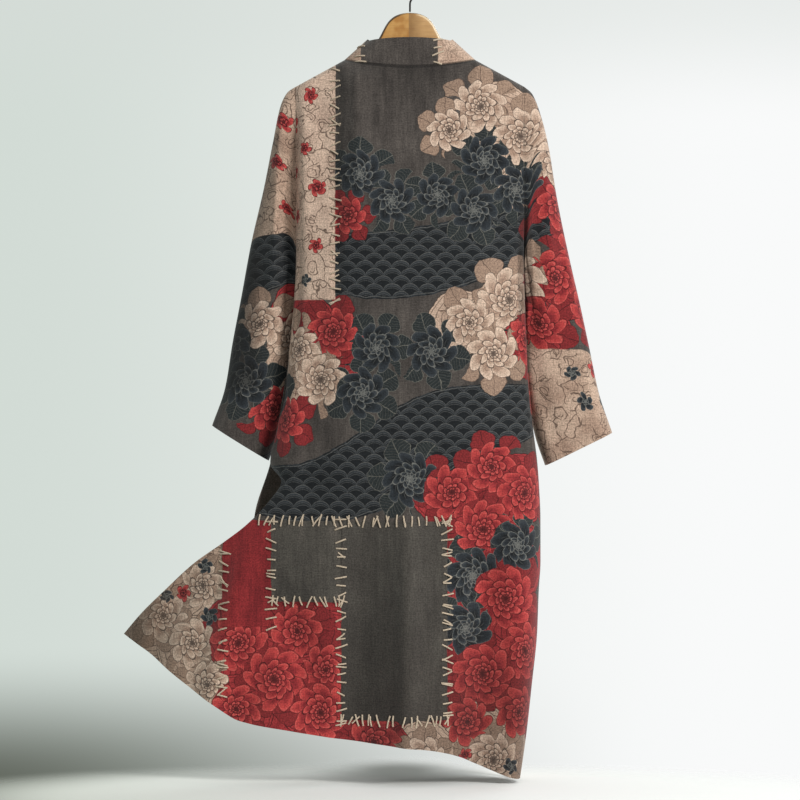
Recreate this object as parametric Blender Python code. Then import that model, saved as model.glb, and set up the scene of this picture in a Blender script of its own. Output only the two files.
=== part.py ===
"""A long open kimono robe hanging on a wooden hanger, with its left hem blown out sideways.

The robe hangs with its back towards -Y, so +X is on the right of someone who looks at its back.
The origin is inside the top of the hanger's hook, where the rail goes. Z points up.
Tables are in millimetres, and everything that the functions return is in metres.
"""

import math

import bmesh
import bpy
import numpy as np

MM = 0.001

# Cloth and seams
CLOTH = 2.0
BAND_CLOTH = 2.6
SEAM_GAP = 0.3
BAND_GAP = 0.45

# Neck, shoulder and armhole
NECK_HALF_WIDTH = 112.0
NECK_SIDE_Z = -154.0
NECK_SCOOP = 14.0
NECK_BACK_DEPTH = 45.0
SHOULDER_HALF_WIDTH = 193.0
SHOULDER_Z = -198.0
UNDERARM_Z = -483.0
ARMHOLE_MIDDLE_Z = (SHOULDER_Z + UNDERARM_Z) / 2
ARMHOLE_REACH = (SHOULDER_Z - UNDERARM_Z) / 2
ARMHOLE_HALF_DEPTH = 38.0
SECTION_POWER = 2.2
BAND_WIDTH = 50.0
BAND_TOP_Z = -118.0
BAND_TOP_HALF_WIDTH = 70.0
BAND_TOP_DEPTH = 40.0

# Where along the panels, from shoulder 0 to hem 1, the shoulder slope has faded and the side vents start
SLOPE_ENDS = 0.30
VENT_STARTS = 0.5455

BACK_ROWS = 34
BACK_NECK_COLUMNS = 12
SHOULDER_COLUMNS = 6
FRONT_COLUMNS = 8
BAND_COLUMNS = 3
SLEEVE_RINGS = 18
SLEEVE_COLUMNS = 24

# The two long edges of the back, from the armholes down the side seams and vents to the corners of the hem
BACK_COLUMNS = ("share", "left_x", "left_y", "left_z", "right_x", "right_y", "right_z", "depth", "wing")
BACK_TABLE = (
    (0.000, -193, 0, -198, 193, 0, -198, 14, 0.0),
    (0.012, -193, 0, -212, 193, 0, -212, 32, 0.0),
    (0.050, -193, 0, -257, 193, 0, -257, 46, 0.0),
    (0.130, -193, 0, -353, 193, 0, -353, 60, 0.0),
    (0.242, -193, 0, -483, 193, 0, -483, 70, 0.0),
    (0.313, -197, 0, -566, 195, 0, -566, 75, 0.0),
    (0.376, -204, 0, -639, 198, 0, -639, 79, 0.0),
    (0.441, -211, 0, -715, 201, 0, -715, 83, 0.0),
    (0.497, -226, 0, -781, 209, 0, -781, 87, 0.0),
    (0.5455, -237, 0, -837, 216, 0, -837, 91, 0.0),
    (0.582, -217, -34, -866, 219, -1, -880, 95, 0.45),
    (0.625, -240, -42, -903, 221, -2, -930, 99, 0.8),
    (0.687, -277, -42, -941, 221, -3, -1002, 104, 1.0),
    (0.728, -311, -36, -967, 218, -4, -1050, 107, 1.0),
    (0.792, -366, -18, -1006, 215, -5, -1124, 111, 1.0),
    (0.865, -417, 8, -1053, 206, -6, -1210, 115, 1.0),
    (0.934, -458, 34, -1093, 197, -8, -1290, 118, 1.0),
    (1.000, -490, 62, -1130, 186, -10, -1367, 120, 1.0),
)

# How far the hem rises above its lowest corner, across the blown back
LIFT_COLUMNS = ("x", "lift")
LIFT_TABLE = (
    (-490, 237),
    (-444, 208),
    (-407, 180),
    (-370, 154),
    (-333, 130),
    (-284, 101),
    (-200, 86),
    (-118, 72),
    (-35, 62),
    (36, 53),
    (83, 41),
    (110, 28),
    (137, 16),
    (165, 5),
    (186, 0),
    (230, 0),
)

# Front panels: the free side edge below the vent, and the edge that the band is sewn to
FRONT_COLUMNS_NAMED = ("share", "side_x", "side_y", "side_z", "inner_x", "rise", "depth")
FRONT_LEFT_TABLE = (
    (0.000, -193, 0, -198, -112, 0, 0),
    (0.012, -193, 0, -212, -110, 0, 22),
    (0.050, -193, 0, -257, -103, 0, 36),
    (0.130, -193, 0, -353, -91, 0, 48),
    (0.242, -193, 0, -483, -82, 0, 58),
    (0.376, -204, 0, -639, -76, 0, 66),
    (0.497, -226, 0, -781, -74, 0, 72),
    (0.5455, -237, 0, -837, -74, 0, 75),
    (0.625, -263, 4, -921, -78, 6, 80),
    (0.728, -276, 10, -1034, -86, 16, 86),
    (0.865, -282, 16, -1150, -98, 34, 92),
    (1.000, -286, 20, -1230, -112, 50, 96),
)
FRONT_RIGHT_TABLE = (
    (0.000, 193, 0, -198, 112, 0, 0),
    (0.012, 193, 0, -212, 110, 0, 22),
    (0.050, 193, 0, -257, 103, 0, 36),
    (0.130, 193, 0, -353, 91, 0, 48),
    (0.242, 193, 0, -483, 82, 0, 58),
    (0.376, 198, 0, -639, 76, 0, 66),
    (0.497, 209, 0, -781, 74, 0, 72),
    (0.5455, 216, 0, -837, 72, 0, 75),
    (0.625, 221, 3, -930, 69, 0, 80),
    (0.728, 217, 6, -1050, 66, -8, 86),
    (0.865, 204, 9, -1210, 62, -26, 92),
    (1.000, 184, 12, -1362, 58, -52, 96),
)

# Sleeve rings from armhole to cuff: the outer and inner point of each, how far it sits forward, and its depth
RING_COLUMNS = ("share", "outer_x", "outer_z", "inner_x", "inner_z", "forward", "half_depth")
SLEEVE_LEFT_TABLE = (
    (0.00, -193.3, -198, -193.3, -483, 0, 38),
    (0.045, -207, -207, -194, -486, 2, 42),
    (0.10, -219, -229, -194.8, -492, 4, 45),
    (0.22, -233, -292, -195.8, -520, 16, 48),
    (0.36, -249, -370, -197, -572, 28, 48),
    (0.50, -271, -463, -196, -632, 40, 47),
    (0.64, -288, -554, -202, -692, 44, 46),
    (0.77, -303, -632, -212, -744, 46, 46),
    (0.89, -316, -710, -226, -792, 46, 45),
    (1.00, -338, -773, -241, -833, 46, 45),
)
SLEEVE_RIGHT_TABLE = (
    (0.00, 193.3, -198, 193.3, -483, 0, 38),
    (0.045, 207, -210, 194, -486, 2, 42),
    (0.10, 219, -238, 194.8, -492, 4, 45),
    (0.22, 235, -298, 195.5, -520, 16, 48),
    (0.36, 250, -386, 195, -572, 28, 48),
    (0.50, 270, -480, 193, -632, 40, 48),
    (0.64, 290, -566, 197, -692, 44, 48),
    (0.77, 306, -640, 204, -744, 46, 48),
    (0.89, 322, -716, 215, -794, 46, 48),
    (1.00, 345, -785, 231, -841, 44, 48),
)

# The largest folds of the back: a soft trough where depth is above 0, a ridge where it is below 0
FOLD_COLUMNS = ("top_x", "top_z", "low_x", "low_z", "half_width", "depth")
BACK_FOLDS = (
    (-106, -190, -104, -400, 18, 6),
    (-170, -330, -150, -620, 22, 7),
    (160, -300, 176, -700, 20, 8),
    (-70, -930, -78, -1420, 34, 16),
    (28, -880, 26, -1420, 36, -14),
    (112, -960, 108, -1420, 28, 18),
    (-168, -900, -250, -1400, 40, -18),
    (-250, -930, -360, -1330, 34, 20),
    (-330, -960, -452, -1240, 30, -16),
)
FRONT_FOLDS = (
    (-140, -520, -150, -1420, 26, 9),
    (-200, -900, -232, -1420, 26, -10),
    (140, -560, 146, -1420, 26, 9),
    (104, -760, 98, -1420, 20, -7),
)

# Hanger
HANGER_HALF_THICKNESS = 7.0
HANGER_SEAT = 6.5
HANGER_SIDES = 12
HANGER_COLUMNS = ("x", "top_z", "bottom_z")
HANGER_TABLE = (
    (0, -72.5, -150),
    (14, -73.5, -150.5),
    (27, -78.5, -151.5),
    (36, -86.5, -153),
    (42, -95.5, -154),
    (48, -107.5, -155.5),
    (55, -120.5, -158),
    (66, -134, -162),
    (85, -147, -170.5),
)
HANGER_ARM_HEIGHT = 24.0
HANGER_ARM_STATIONS = 7
HANGER_TIP_RADIUS = 11.0
HANGER_CLOTH_END = 5.0

HOOK_WIRE_RADIUS = 1.8
HOOK_RADIUS = 22.0
HOOK_ARC_POINTS = 22
HOOK_START_DEG = -38.0
HOOK_END_DEG = 200.0
HOOK_NECK_Z = -56.0

MATERIALS = {
    "printed_linen": ((0.075, 0.070, 0.066), 0.88),
    "beech_wood": ((0.62, 0.36, 0.13), 0.42),
    "steel_wire": ((0.10, 0.10, 0.10), 0.35),
}


def clear_scene():
    for thing in list(bpy.data.objects):
        bpy.data.objects.remove(thing)


def material(name):
    colour, roughness = MATERIALS[name]
    made = bpy.data.materials.get(name) or bpy.data.materials.new(name)
    made.use_nodes = True
    shader = made.node_tree.nodes["Principled BSDF"]
    shader.inputs["Base Color"].default_value = (*colour, 1.0)
    shader.inputs["Roughness"].default_value = roughness
    shader.inputs["Metallic"].default_value = 1.0 if name == "steel_wire" else 0.0
    return made


def column(table, names, name):
    return np.array([row[names.index(name)] for row in table], float)


def smooth(keys, values, at):
    """Reads a table column between its rows on a curve that never overshoots them."""
    keys, values = np.asarray(keys, float), np.asarray(values, float)
    step = np.diff(keys)
    slope = np.diff(values) / step
    inner = np.zeros(len(keys))
    same_way = slope[:-1] * slope[1:] > 0
    harmonic = 2 * slope[:-1] * slope[1:] / np.where(same_way, slope[:-1] + slope[1:], 1)
    inner[1:-1] = np.where(same_way, harmonic, 0)
    inner[0], inner[-1] = slope[0], slope[-1]
    at = np.clip(at, keys[0], keys[-1])
    i = np.clip(np.searchsorted(keys, at, side="right") - 1, 0, len(step) - 1)
    f = (at - keys[i]) / step[i]
    ends = (1 + 2 * f) * (1 - f) ** 2 * values[i] + f * f * (3 - 2 * f) * values[i + 1]
    bends = f * (1 - f) ** 2 * inner[i] - f * f * (1 - f) * inner[i + 1]
    return ends + bends * step[i]


def fade(low, high, at):
    f = np.clip((np.asarray(at, float) - low) / (high - low), 0, 1)
    return f * f * (3 - 2 * f)


def reader(table, names):
    """A function that gives one named column of a table at a share of the way down."""
    return lambda name, share: float(smooth(column(table, names, names[0]), column(table, names, name), share))


back_at = reader(BACK_TABLE, BACK_COLUMNS)
front_at = {
    -1: reader(FRONT_LEFT_TABLE, FRONT_COLUMNS_NAMED),
    1: reader(FRONT_RIGHT_TABLE, FRONT_COLUMNS_NAMED),
}


def rounding(t, power=SECTION_POWER):
    """The share of its depth that a section has at t, from 1 in the middle to 0 at the side."""
    return (1 - min(abs(t), 1.0) ** power) ** (1 / power)


def shoulder_rise(x):
    """How far the shoulder seam and the back neckline stand above the shoulder's end."""
    x = abs(x)
    top = NECK_SIDE_Z - SHOULDER_Z
    if x >= NECK_HALF_WIDTH:
        return top * (SHOULDER_HALF_WIDTH - x) / (SHOULDER_HALF_WIDTH - NECK_HALF_WIDTH)
    return top - NECK_SCOOP * (1 - (x / NECK_HALF_WIDTH) ** 2)


def slope_left(share):
    """The part of the shoulder slope that a row still has."""
    return (1 - min(share / SLOPE_ENDS, 1.0)) ** 2


def armhole_depth(z):
    return ARMHOLE_HALF_DEPTH * math.sqrt(max(0.0, 1 - ((z - ARMHOLE_MIDDLE_Z) / ARMHOLE_REACH) ** 2))


def fold(folds, x, z):
    """Sum of the troughs and ridges at a point, with the ends of each faded out."""
    total = 0.0
    for top_x, top_z, low_x, low_z, half_width, depth in folds:
        along = (top_z - z) / (top_z - low_z)
        across = (x - (top_x + (low_x - top_x) * along)) / half_width
        total += depth * math.exp(-across * across) * float(fade(0, 0.35, along) * fade(1.15, 0.9, along))
    return total


def hem_lift(x):
    return float(smooth(column(LIFT_TABLE, LIFT_COLUMNS, "x"), column(LIFT_TABLE, LIFT_COLUMNS, "lift"), x))


def back_point(share, t):
    """A point of the outer face of the back: share 0 at the shoulder, 1 at the hem; t -1 left, 1 right."""
    side = "left" if t < 0 else "right"
    end_x, end_y, end_z = (back_at(f"{side}_{axis}", share) for axis in "xyz")
    wing = back_at("wing", share)
    centre_x = 0.3 * wing * (back_at("left_x", share) + back_at("right_x", share))
    x = centre_x + (end_x - centre_x) * abs(t)
    tube = rounding(t)
    bulge = tube if t > 0 else (1 - wing) * tube + wing * (1 - abs(t) ** 2.4)
    y = -(back_at("depth", share) * bulge + (armhole_depth(end_z) - end_y) * (1 - bulge) ** 1.6)
    neck_depth = NECK_BACK_DEPTH * math.sqrt(max(0.0, 1 - (x / NECK_HALF_WIDTH) ** 2))
    if share == 0:
        y = -neck_depth
    elif share < SLOPE_ENDS:
        y = -(abs(y) ** 6 + neck_depth ** 6) ** (1 / 6)
    left_x, left_z, right_z = (back_at(name, share) for name in ("left_x", "left_z", "right_z"))
    z = right_z + shoulder_rise(x) * slope_left(share)
    if share > VENT_STARTS:
        z += (left_z - right_z) * hem_lift(x) / hem_lift(left_x)
    held = float(fade(1.0, 0.93, abs(t))) if share < VENT_STARTS else 1.0
    return np.array((x, y + fold(BACK_FOLDS, x, z) * held, z))


def front_point(side, share, t):
    """A point of a front panel's outer face: t 0 at the edge that the band joins, 1 at the side."""
    read = front_at[side]
    side_x, inner_x = read("side_x", share), read("inner_x", share)
    x = inner_x + (side_x - inner_x) * t
    across = abs(x / side_x)
    side_z = read("side_z", share)
    bulge = rounding(across)
    y = read("depth", share) * bulge + (armhole_depth(side_z) + read("side_y", share)) * (1 - bulge) ** 1.6
    if share == 0:
        y = 0.0
    z = side_z + shoulder_rise(x) * slope_left(share)
    z -= read("rise", share) * (1 - t) ** 1.2
    held = float(fade(1.0, 0.93, across)) if share < VENT_STARTS else 1.0
    return np.array((x, y - fold(FRONT_FOLDS, x, z) * held, z))


def grid_of(shares, ts, point):
    return np.array([[point(share, t) for t in ts] for share in shares])


def inward_of(grid, towards, thickness, wraps=False):
    """A vector of the cloth's thickness at each point, square to the grid and to the side that towards is on."""
    if wraps:
        round_about = np.roll(grid, -1, axis=1) - np.roll(grid, 1, axis=1)
    else:
        round_about = np.gradient(grid, axis=1)
    normal = np.cross(np.gradient(grid, axis=0), round_about)
    normal /= np.linalg.norm(normal, axis=2, keepdims=True)
    wrong = np.sum(normal * (towards - grid), axis=2, keepdims=True) < 0
    return np.where(wrong, -normal, normal) * thickness


def unit(vector):
    return np.asarray(vector, float) / np.linalg.norm(vector)


def shell(name, grid, inward, material_name, wraps=False):
    """One closed wall of cloth: the outer grid, the same grid moved inward, and the rims between them."""
    rows, columns = grid.shape[:2]
    outer_points = grid.reshape(-1, 3) * MM
    inner_points = (grid + inward).reshape(-1, 3) * MM
    mesh_data = bmesh.new()
    outer = [mesh_data.verts.new(p) for p in outer_points]
    inner = [mesh_data.verts.new(p) for p in inner_points]
    last = columns if wraps else columns - 1
    at = lambda r, c: r * columns + c % columns
    for r in range(rows - 1):
        for c in range(last):
            corners = (at(r, c), at(r, c + 1), at(r + 1, c + 1), at(r + 1, c))
            mesh_data.faces.new([outer[i] for i in corners])
            mesh_data.faces.new([inner[i] for i in reversed(corners)])
    rims = [(at(r, c), at(r, c + 1)) for r in (0, rows - 1) for c in range(last)]
    if not wraps:
        rims += [(at(r, c), at(r + 1, c)) for c in (0, columns - 1) for r in range(rows - 1)]
    for a, b in rims:
        mesh_data.faces.new((outer[a], outer[b], inner[b], inner[a]))
    return finish_mesh(name, mesh_data, material_name)


def finish_mesh(name, mesh_data, material_name):
    bmesh.ops.recalc_face_normals(mesh_data, faces=mesh_data.faces)
    mesh = bpy.data.meshes.new(name)
    mesh_data.to_mesh(mesh)
    mesh_data.free()
    mesh.materials.append(material(material_name))
    mesh.shade_smooth()
    mesh.set_sharp_from_angle(angle=math.radians(40))
    made = bpy.data.objects.new(name, mesh)
    bpy.context.collection.objects.link(made)
    return made


def panel_shares():
    """Rows down a panel: close together over the shoulder, then even, with one where the vents start."""
    over_shoulder = [0, 0.012, 0.03, 0.055, 0.09]
    to_vent = np.linspace(0.09, VENT_STARTS, BACK_ROWS // 2)[1:]
    to_hem = np.linspace(VENT_STARTS, 1, BACK_ROWS - len(over_shoulder) - len(to_vent) + 1)[1:]
    return [*over_shoulder, *to_vent, *to_hem]


def back_columns():
    """Columns across the back, with one at each end of the neckline and closer ones at the sides."""
    neck = NECK_HALF_WIDTH / SHOULDER_HALF_WIDTH
    steps = [math.sin(math.pi / 2 * k / SHOULDER_COLUMNS) for k in range(1, SHOULDER_COLUMNS + 1)]
    shoulder = [neck + (1 - neck) * step for step in steps]
    middle = np.linspace(-neck, neck, BACK_NECK_COLUMNS + 1)
    return [*(-t for t in reversed(shoulder)), *middle, *shoulder]


def neck_inward(point):
    """The direction that back, fronts and band share where they meet at the neck."""
    side = (point[0] / NECK_HALF_WIDTH) ** 2
    return unit(np.array((0, 10, point[2] - 30 - 70 * side)) - point)


def armhole_inward(point):
    return unit((0, -point[1] / ARMHOLE_HALF_DEPTH ** 2, (ARMHOLE_MIDDLE_Z - point[2]) / ARMHOLE_REACH ** 2))


def set_seam_inward(grid, inward, shares, side_columns):
    """Turns the wall's thickness at shoulder seam, armhole and side seam to the direction both pieces share."""
    for r, share in enumerate(shares):
        for c in side_columns:
            if share < 0.242:
                inward[r, c] = armhole_inward(grid[r, c]) * CLOTH
            elif share <= VENT_STARTS + 0.001:
                inward[r, c] = (-math.copysign(CLOTH, grid[r, c, 0]), 0, 0)
    for c in range(grid.shape[1]):
        if abs(grid[0, c, 0]) > NECK_HALF_WIDTH + 1:
            inward[0, c] = (0, 0, -CLOTH * 1.25)


def back_panel():
    shares, ts = panel_shares(), back_columns()
    grid = grid_of(shares, ts, back_point)
    inward = inward_of(grid, np.array((0, 400, -700)), CLOTH)
    set_seam_inward(grid, inward, shares, (0, len(ts) - 1))
    for c in range(len(ts)):
        if abs(grid[0, c, 0]) <= NECK_HALF_WIDTH + 1:
            inward[0, c] = neck_inward(grid[0, c]) * CLOTH
    seam = [share <= VENT_STARTS + 0.001 for share in shares]
    for r, share in enumerate(shares):
        for c in (0, len(ts) - 1):
            if share >= 0.242 and seam[r]:
                grid[r, c, 1] -= SEAM_GAP / 2
    grid[0, :, 1] -= SEAM_GAP / 2
    return shell("back", grid, inward, "printed_linen")


def front_panel(side, name):
    shares = panel_shares()
    ts = [math.sin(math.pi / 2 * k / FRONT_COLUMNS) for k in range(FRONT_COLUMNS + 1)]
    grid = grid_of(shares, ts, lambda share, t: front_point(side, share, t))
    inward = inward_of(grid, np.array((0, -400, -700)), CLOTH)
    set_seam_inward(grid, inward, shares, (len(ts) - 1,))
    inward[:, 0] = [edge_inward(side, share) * CLOTH for share in shares]
    for r, share in enumerate(shares):
        if 0.242 <= share <= VENT_STARTS + 0.001:
            grid[r, -1, 1] += SEAM_GAP / 2
    grid[0, :, 1] += SEAM_GAP / 2
    return shell(name, grid, inward, "printed_linen")


def band_reach(share):
    """From the seam to the band's free edge on a front, as fractions of the band's width in x, y and z."""
    lying = float(fade(0, 0.13, share))
    forward = 0.25 * math.sin(math.pi * min(share / 0.13, 1.0))
    return np.array((0.80 + 0.19 * lying, forward + 0.05 * lying, 0.72 * (1 - lying)))


def edge_inward(side, share):
    """The direction of the thickness that a front and the band share along their seam."""
    seam = front_point(side, share, 0)
    if share == 0:
        return neck_inward(seam)
    along = front_point(side, min(share + 0.004, 1), 0) - front_point(side, max(share - 0.004, 0), 0)
    panel = unit(seam - front_point(side, share, 0.05))
    facing = unit(np.cross(along, panel + unit(band_reach(share) * (-side, 1, 1))))
    return facing if facing[1] + facing[2] < 0 else -facing


def band_stations():
    """Across the band, from the left hem round the neck to the right hem: seam, free edge and inward way."""
    stations = []
    for side in (-1, 1):
        edge = []
        for share in panel_shares():
            seam = front_point(side, share, 0)
            reach = band_reach(share) * BAND_WIDTH * (-side, 1, 1)
            edge.append((seam, seam + reach, edge_inward(side, share)))
        stations.append(edge)
    neck = []
    for x in np.linspace(-NECK_HALF_WIDTH, NECK_HALF_WIDTH, BACK_NECK_COLUMNS + 1)[1:-1]:
        seam = back_point(0, x / SHOULDER_HALF_WIDTH)
        around = x / NECK_HALF_WIDTH
        top_y = -BAND_TOP_DEPTH * math.sqrt(1 - around ** 2)
        top_z = BAND_TOP_Z - 3 * around ** 2
        neck.append((seam, np.array((BAND_TOP_HALF_WIDTH * around, top_y, top_z)), neck_inward(seam)))
    left, right = stations
    return [*reversed(left), *neck, *right]


def neck_band():
    stations = band_stations()
    rows = []
    for seam, free, _way in stations:
        start = seam + unit(free - seam) * BAND_GAP
        rows.append([start + (free - start) * k / BAND_COLUMNS for k in range(BAND_COLUMNS + 1)])
    grid = np.array(rows)
    inward = inward_of(grid, np.array((0, 0, -700)), BAND_CLOTH)
    inward[:, 0] = [way * BAND_CLOTH for _seam, _free, way in stations]
    return shell("neck_band", grid, inward, "printed_linen")


def sleeve(table, name):
    """A tapering tube that starts as the upright armhole and turns down to the slanting cuff."""
    read = reader(table, RING_COLUMNS)
    rings = []
    for share in np.linspace(0, 1, SLEEVE_RINGS):
        outer = np.array((read("outer_x", share), read("forward", share), read("outer_z", share)))
        inner = np.array((read("inner_x", share), read("forward", share), read("inner_z", share)))
        middle, reach = (outer + inner) / 2, (outer - inner) / 2
        deep = np.array((0, read("half_depth", share), 0))
        turns = [2 * math.pi * k / SLEEVE_COLUMNS for k in range(SLEEVE_COLUMNS)]
        rings.append([middle + reach * math.cos(turn) + deep * math.sin(turn) for turn in turns])
    grid = np.array(rings)
    centres = grid.mean(axis=1, keepdims=True)
    inward = inward_of(grid, centres, CLOTH, wraps=True)
    inward[0] = [armhole_inward(point) * CLOTH for point in grid[0]]
    return shell(name, grid, inward, "printed_linen", wraps=True)


def hanger_profile():
    """Stations of the hanger's right half, from its hump out along the shoulder to the rounded tip."""
    stations = [dict(zip(HANGER_COLUMNS, row)) for row in HANGER_TABLE]
    start, end = NECK_HALF_WIDTH, SHOULDER_HALF_WIDTH - HANGER_CLOTH_END
    for k in range(HANGER_ARM_STATIONS):
        x = start + (end - start) * k / (HANGER_ARM_STATIONS - 1)
        top = SHOULDER_Z + shoulder_rise(x) - HANGER_SEAT
        stations.append({"x": x, "top_z": top, "bottom_z": top - HANGER_ARM_HEIGHT})
    return stations


def hanger_wood():
    """One bent piece of wood with a half-round top and bottom, swept from tip to tip."""
    right = hanger_profile()
    left = [{**station, "x": -station["x"]} for station in reversed(right[1:])]
    mesh_data = bmesh.new()
    loops = []
    for station in [*left, *right]:
        half = (station["top_z"] - station["bottom_z"]) / 2
        middle = (station["top_z"] + station["bottom_z"]) / 2
        loop = []
        for k in range(HANGER_SIDES):
            turn = 2 * math.pi * (k + 0.5) / HANGER_SIDES
            straight = math.copysign(half - HANGER_HALF_THICKNESS, math.cos(turn))
            y = HANGER_HALF_THICKNESS * math.sin(turn)
            z = middle + straight + HANGER_HALF_THICKNESS * math.cos(turn)
            loop.append(mesh_data.verts.new((station["x"] * MM, y * MM, z * MM)))
        loops.append(loop)
    for a, b in zip(loops, loops[1:]):
        for k in range(HANGER_SIDES):
            follows = (k + 1) % HANGER_SIDES
            mesh_data.faces.new((a[k], a[follows], b[follows], b[k]))
    for loop, side in ((loops[0], -1), (loops[-1], 1)):
        middle = sum((v.co for v in loop), loop[0].co * 0) / len(loop)
        tip = [mesh_data.verts.new(middle + (v.co - middle) * 0.72) for v in loop]
        for v in tip:
            v.co.x += side * HANGER_TIP_RADIUS * MM * 0.45
            v.co.z -= HANGER_TIP_RADIUS * MM * 0.25
        for k in range(HANGER_SIDES):
            follows = (k + 1) % HANGER_SIDES
            mesh_data.faces.new((loop[k], loop[follows], tip[follows], tip[k]))
        mesh_data.faces.new(tip)
    return finish_mesh("hanger_wood", mesh_data, "beech_wood")


def hook_route():
    """The wire's centre line: up out of the wood, out to one side, and round over the rail."""
    centre_z = HOOK_WIRE_RADIUS - HOOK_RADIUS
    start = HANGER_TABLE[0][1] + SEAM_GAP
    arc = []
    for k in range(HOOK_ARC_POINTS + 1):
        turn = math.radians(HOOK_START_DEG + (HOOK_END_DEG - HOOK_START_DEG) * k / HOOK_ARC_POINTS)
        arc.append((HOOK_RADIUS * math.cos(turn), 0, centre_z + HOOK_RADIUS * math.sin(turn)))
    joins = np.array(arc[0])
    neck = np.array((0, 0, HOOK_NECK_Z))
    leaves = np.array((0, 0, 10.0))
    arrives = np.array((-math.sin(math.radians(HOOK_START_DEG)), 0, math.cos(math.radians(HOOK_START_DEG)))) * 10
    bend = []
    for k in range(1, 6):
        f = k / 6
        ends = (1 + 2 * f) * (1 - f) ** 2 * neck + f * f * (3 - 2 * f) * joins
        bend.append(ends + f * (1 - f) ** 2 * leaves * 1.6 - f * f * (1 - f) * arrives * 1.6)
    return [(0, 0, start), (0, 0, (start + HOOK_NECK_Z) / 2), tuple(neck), *map(tuple, bend), *arc]


def hanger_hook():
    curve = bpy.data.curves.new("hanger_hook", "CURVE")
    curve.dimensions = "3D"
    curve.bevel_depth = HOOK_WIRE_RADIUS * MM
    curve.bevel_resolution = 2
    curve.use_fill_caps = True
    route = hook_route()
    spline = curve.splines.new("POLY")
    spline.points.add(len(route) - 1)
    for point, place in zip(spline.points, route):
        point.co = (*(value * MM for value in place), 1.0)
    spline.use_smooth = True
    curve.materials.append(material("steel_wire"))
    made = bpy.data.objects.new("hanger_hook", curve)
    bpy.context.collection.objects.link(made)
    return made


def main():
    clear_scene()
    back_panel()
    front_panel(-1, "front_left")
    front_panel(1, "front_right")
    neck_band()
    sleeve(SLEEVE_LEFT_TABLE, "sleeve_left")
    sleeve(SLEEVE_RIGHT_TABLE, "sleeve_right")
    hanger_wood()
    hanger_hook()


main()
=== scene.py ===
"""A printed linen kimono robe on its wooden hanger, seen from behind in soft studio light."""

import functools
import math

import bpy
import numpy as np
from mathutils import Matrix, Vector


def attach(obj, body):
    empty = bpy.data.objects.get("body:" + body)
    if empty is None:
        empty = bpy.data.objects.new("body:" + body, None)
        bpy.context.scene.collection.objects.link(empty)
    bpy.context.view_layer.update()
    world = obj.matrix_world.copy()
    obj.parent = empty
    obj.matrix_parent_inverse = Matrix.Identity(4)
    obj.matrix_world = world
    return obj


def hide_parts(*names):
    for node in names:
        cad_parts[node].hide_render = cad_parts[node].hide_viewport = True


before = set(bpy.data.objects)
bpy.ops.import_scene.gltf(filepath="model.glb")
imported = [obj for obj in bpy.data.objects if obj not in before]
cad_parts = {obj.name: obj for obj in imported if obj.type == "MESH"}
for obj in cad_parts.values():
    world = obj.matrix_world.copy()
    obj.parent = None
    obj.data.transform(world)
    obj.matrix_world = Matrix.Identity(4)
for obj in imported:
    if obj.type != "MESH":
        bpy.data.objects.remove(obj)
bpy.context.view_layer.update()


# The wooden hanger
# A bent beech arm with a hump in its middle that stands above the neck band. It is sanded round,
# lacquered clear, and has gone honey coloured, with darker grain. Its left half is painted lit and its
# right half painted in shade beside the middle, with painted shade along its edges and a painted
# highlight along the right edge.

MM = 0.001
ARM_HALF_LENGTH, STATION_GAP, STATION_REACH = 186, 2, 1.2
MERGED_WITHIN = 0.02


def dye(red, green, blue):
    """A colour as a screen shows it, 0 to 255, in the linear light that shaders work in."""
    shares = [value / 255 for value in (red, green, blue)]
    return (*(s / 12.92 if s < 0.04 else ((s + 0.055) / 1.055) ** 2.4 for s in shares), 1.0)


class Link:
    """A socket of a node tree. Python's operators on it add the Math nodes that work them out."""

    def __init__(self, tree, socket):
        self.tree, self.socket = tree, socket

    def __add__(self, other):
        return self.tree.math("ADD", self, other)

    def __sub__(self, other):
        return self.tree.math("SUBTRACT", self, other)

    def __rsub__(self, other):
        return self.tree.math("SUBTRACT", other, self)

    def __mul__(self, other):
        return self.tree.math("MULTIPLY", self, other)

    def __truediv__(self, other):
        return self.tree.math("DIVIDE", self, other)

    def __rtruediv__(self, other):
        return self.tree.math("DIVIDE", other, self)

    def __pow__(self, other):
        return self.tree.math("POWER", self, other)

    def __abs__(self):
        return self.tree.math("ABSOLUTE", self)

    def __lt__(self, other):
        return self.tree.math("LESS_THAN", self, other)

    def __gt__(self, other):
        return self.tree.math("GREATER_THAN", self, other)

    __radd__ = __add__
    __rmul__ = __mul__


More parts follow.
